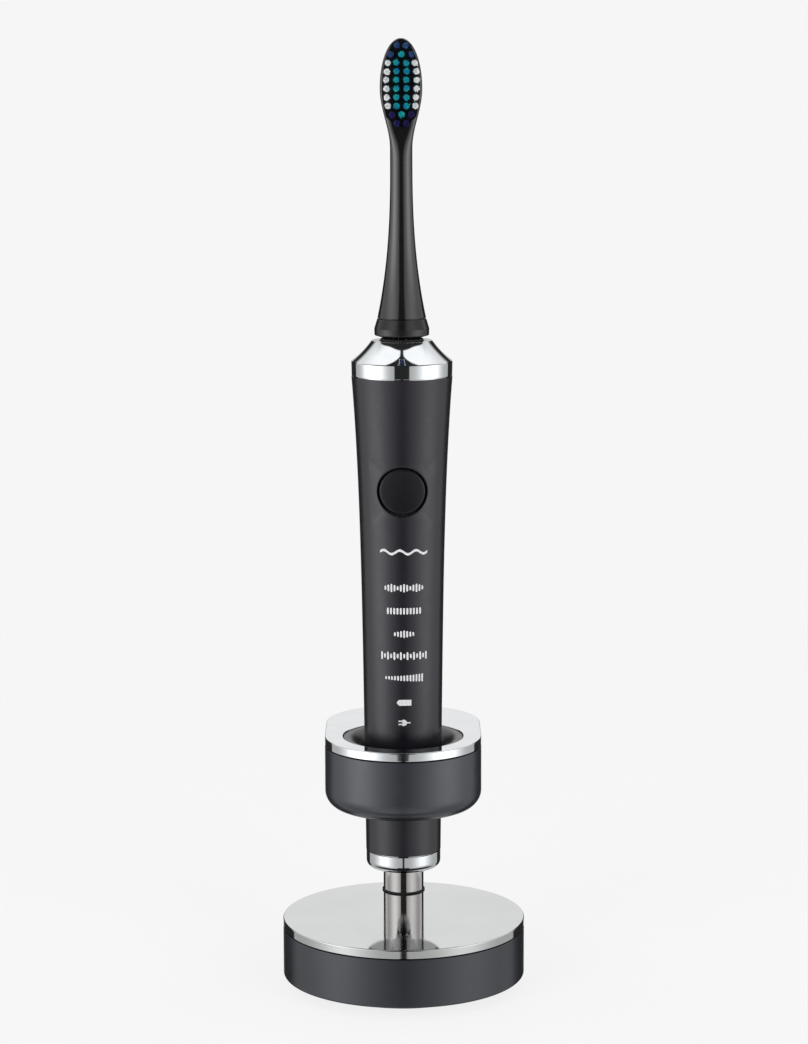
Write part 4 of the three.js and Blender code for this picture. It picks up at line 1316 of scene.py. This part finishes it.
GAP_FULLNESS = 0.35  # the lower, the squarer the gaps' ends
GAP_EDGE = (-0.02, 0.03)
SLIT = 0.045  # elsewhere the cards nearly meet
CEILING = (-0.236, 1.6)  # the dark ceiling ends in front of the zenith, on a curve y = a + b x^4
CEILING_FROM = (0.5, 0.58)
PENDANT = (0.09, 0.63)  # half width of a dark wedge hung from the zenith, and how it grows to the back
PENDANT_FROM = (0.82, 0.88)
EDGE = 0.02
PENDANT_EDGE = 0.015
FLAG_FROM, FLAG_TO, FLAG_TOP = degrees(129, 168, 26)  # dark flags behind the object, left and right
FLAG_EDGE = 0.03
FLAG_TOP_EDGE = 0.1
DARK = 0.03


def open_in_front(across, y, height):
    """1 on the cards and 0 in the gap between them, which is a slit that opens into two lenses."""
    gap = SLIT
    for middle, reach, half_width in GAPS:
        off = (height - middle) / reach
        lens = (off * off).rest().do("MAXIMUM", 0).do("POWER", GAP_FULLNESS)
        gap = (lens * half_width).do("MAXIMUM", gap)
    beyond_gap = (across - gap).rise(*GAP_EDGE)
    in_front = y.rise(EDGE, -EDGE)
    return (in_front * beyond_gap.rest()).rest()


def dark_things(across, y, z, height, turn):
    """The flags behind the object, the ceiling and the pendant, each 1 where it stands."""
    near = turn.rise(FLAG_FROM - FLAG_EDGE, FLAG_FROM + FLAG_EDGE)
    far = turn.rise(FLAG_TO, FLAG_TO - 2 * FLAG_EDGE)
    flags = near * far * height.rise(FLAG_TOP + FLAG_TOP_EDGE, FLAG_TOP - FLAG_TOP_EDGE)
    curve = across.do("POWER", 4) * CEILING[1] + CEILING[0]
    ceiling = (y - curve).rise(EDGE, -EDGE) * z.rise(*CEILING_FROM)
    wedge = y * PENDANT[1] + PENDANT[0]
    pendant = (across - wedge).rise(PENDANT_EDGE, -PENDANT_EDGE) * z.rise(*PENDANT_FROM)
    return flags, ceiling, pendant


def card_glow(x, height, turn):
    """The bright part of the two side cards."""
    astray = (height - LEVEL_MIDDLE).do("ABSOLUTE") - LEVEL_REACH
    lead = astray.do("MAXIMUM", 0) * GLOW_LEAD
    off = (turn - GLOW_AT + lead) / GLOW_WIDTH
    glow = (off * off * -1).do("EXPONENT")
    dimmer = height.rise(*HIGH_FROM) * height.rise(*HIGH_TO) * HIGH_LOSS
    lean = (x.do("SIGN") * GLOW_LEAN).rest()
    foot = height.rise(*GLOW_FOOT) * (1 - FOOT_LEFT) + FOOT_LEFT
    return glow * (height.rise(*GLOW_TOP) - dimmer) * (lean * GLOW) * foot


def card_fill(height, turn):
    """The level of the cards away from their bright part."""
    above = height.rise(*TOP_FROM)
    back = (height.rise(*BACK_FROM) * turn.rise(*BACK_TURN)).do("MAXIMUM", above)
    return back * (BACK_LIGHT - FILL) + FILL + above * (TOP_LIGHT - BACK_LIGHT)


def build_studio():
    """Soft light from two tall curved cards, left and right, with a dark gap between them in front."""
    world = bpy.data.worlds.new("studio")
    bpy.context.scene.world = world
    world.use_nodes = True
    tree = world.node_tree
    direction = add_node(tree, "ShaderNodeTexCoord").outputs["Generated"]
    parts = add_node(tree, "ShaderNodeSeparateXYZ", {0: direction})
    x, y, z = (Value(tree, socket) for socket in parts.outputs)
    across = x.do("ABSOLUTE")
    height = z.do("ARCSINE")
    turn = across.do("ARCTAN2", y * -1)

    lit = open_in_front(across, y, height)
    for dark in dark_things(across, y, z, height, turn):
        lit = lit * dark.rest()
    cards = card_fill(height, turn) + card_glow(x, height, turn)
    light = cards * lit + DARK

    seen = add_node(tree, "ShaderNodeLightPath").outputs["Is Camera Ray"]
    level = add_node(tree, "ShaderNodeMix", {"Factor": seen, "A": light.socket, "B": BACKDROP})
    background = tree.nodes["Background"]
    background.inputs["Color"].default_value = (1, 1, 1, 1)
    tree.links.new(level.outputs["Result"], background.inputs["Strength"])
    bpy.context.scene.view_settings.view_transform = "Standard"


SOFTBOX_POWER = 6
SOFTBOX_SIZE = 600
SOFTBOX_PLACE = (700, -850, 620)
SOFTBOX_AIM = (0, 0, 150)


def build_softboxes():
    """Two big soft lights over the camera, left and right. The gloss sees only the cards, not these."""
    for side in (-1, 1):
        data = bpy.data.lights.new("softbox", "AREA")
        data.shape = "RECTANGLE"
        data.size = SOFTBOX_SIZE * MM
        data.size_y = 1.5 * SOFTBOX_SIZE * MM
        data.energy = SOFTBOX_POWER
        softbox = add_object("softbox", data)
        x, y, z = SOFTBOX_PLACE
        softbox.location = Vector((side * x, y, z)) * MM
        aim = Vector(SOFTBOX_AIM) * MM - softbox.location
        softbox.rotation_euler = aim.to_track_quat("-Z", "Y").to_euler()
        softbox.visible_glossy = False


# ---- everything

paint_carried_nodes()
build_camera()
build_floor()
build_studio()
build_softboxes()

build_base_drum()
build_mirror_plate()
build_foot()
build_inlet()
build_pole()
build_ring_body()
build_ring_plate()
build_liner()
build_housing()
build_button()
build_end_cap()
build_shoulder()
build_seal()
build_marks()
build_shaft()
build_brush_body()
build_brush_foot()
build_bristles()

bpy.context.view_layer.update()
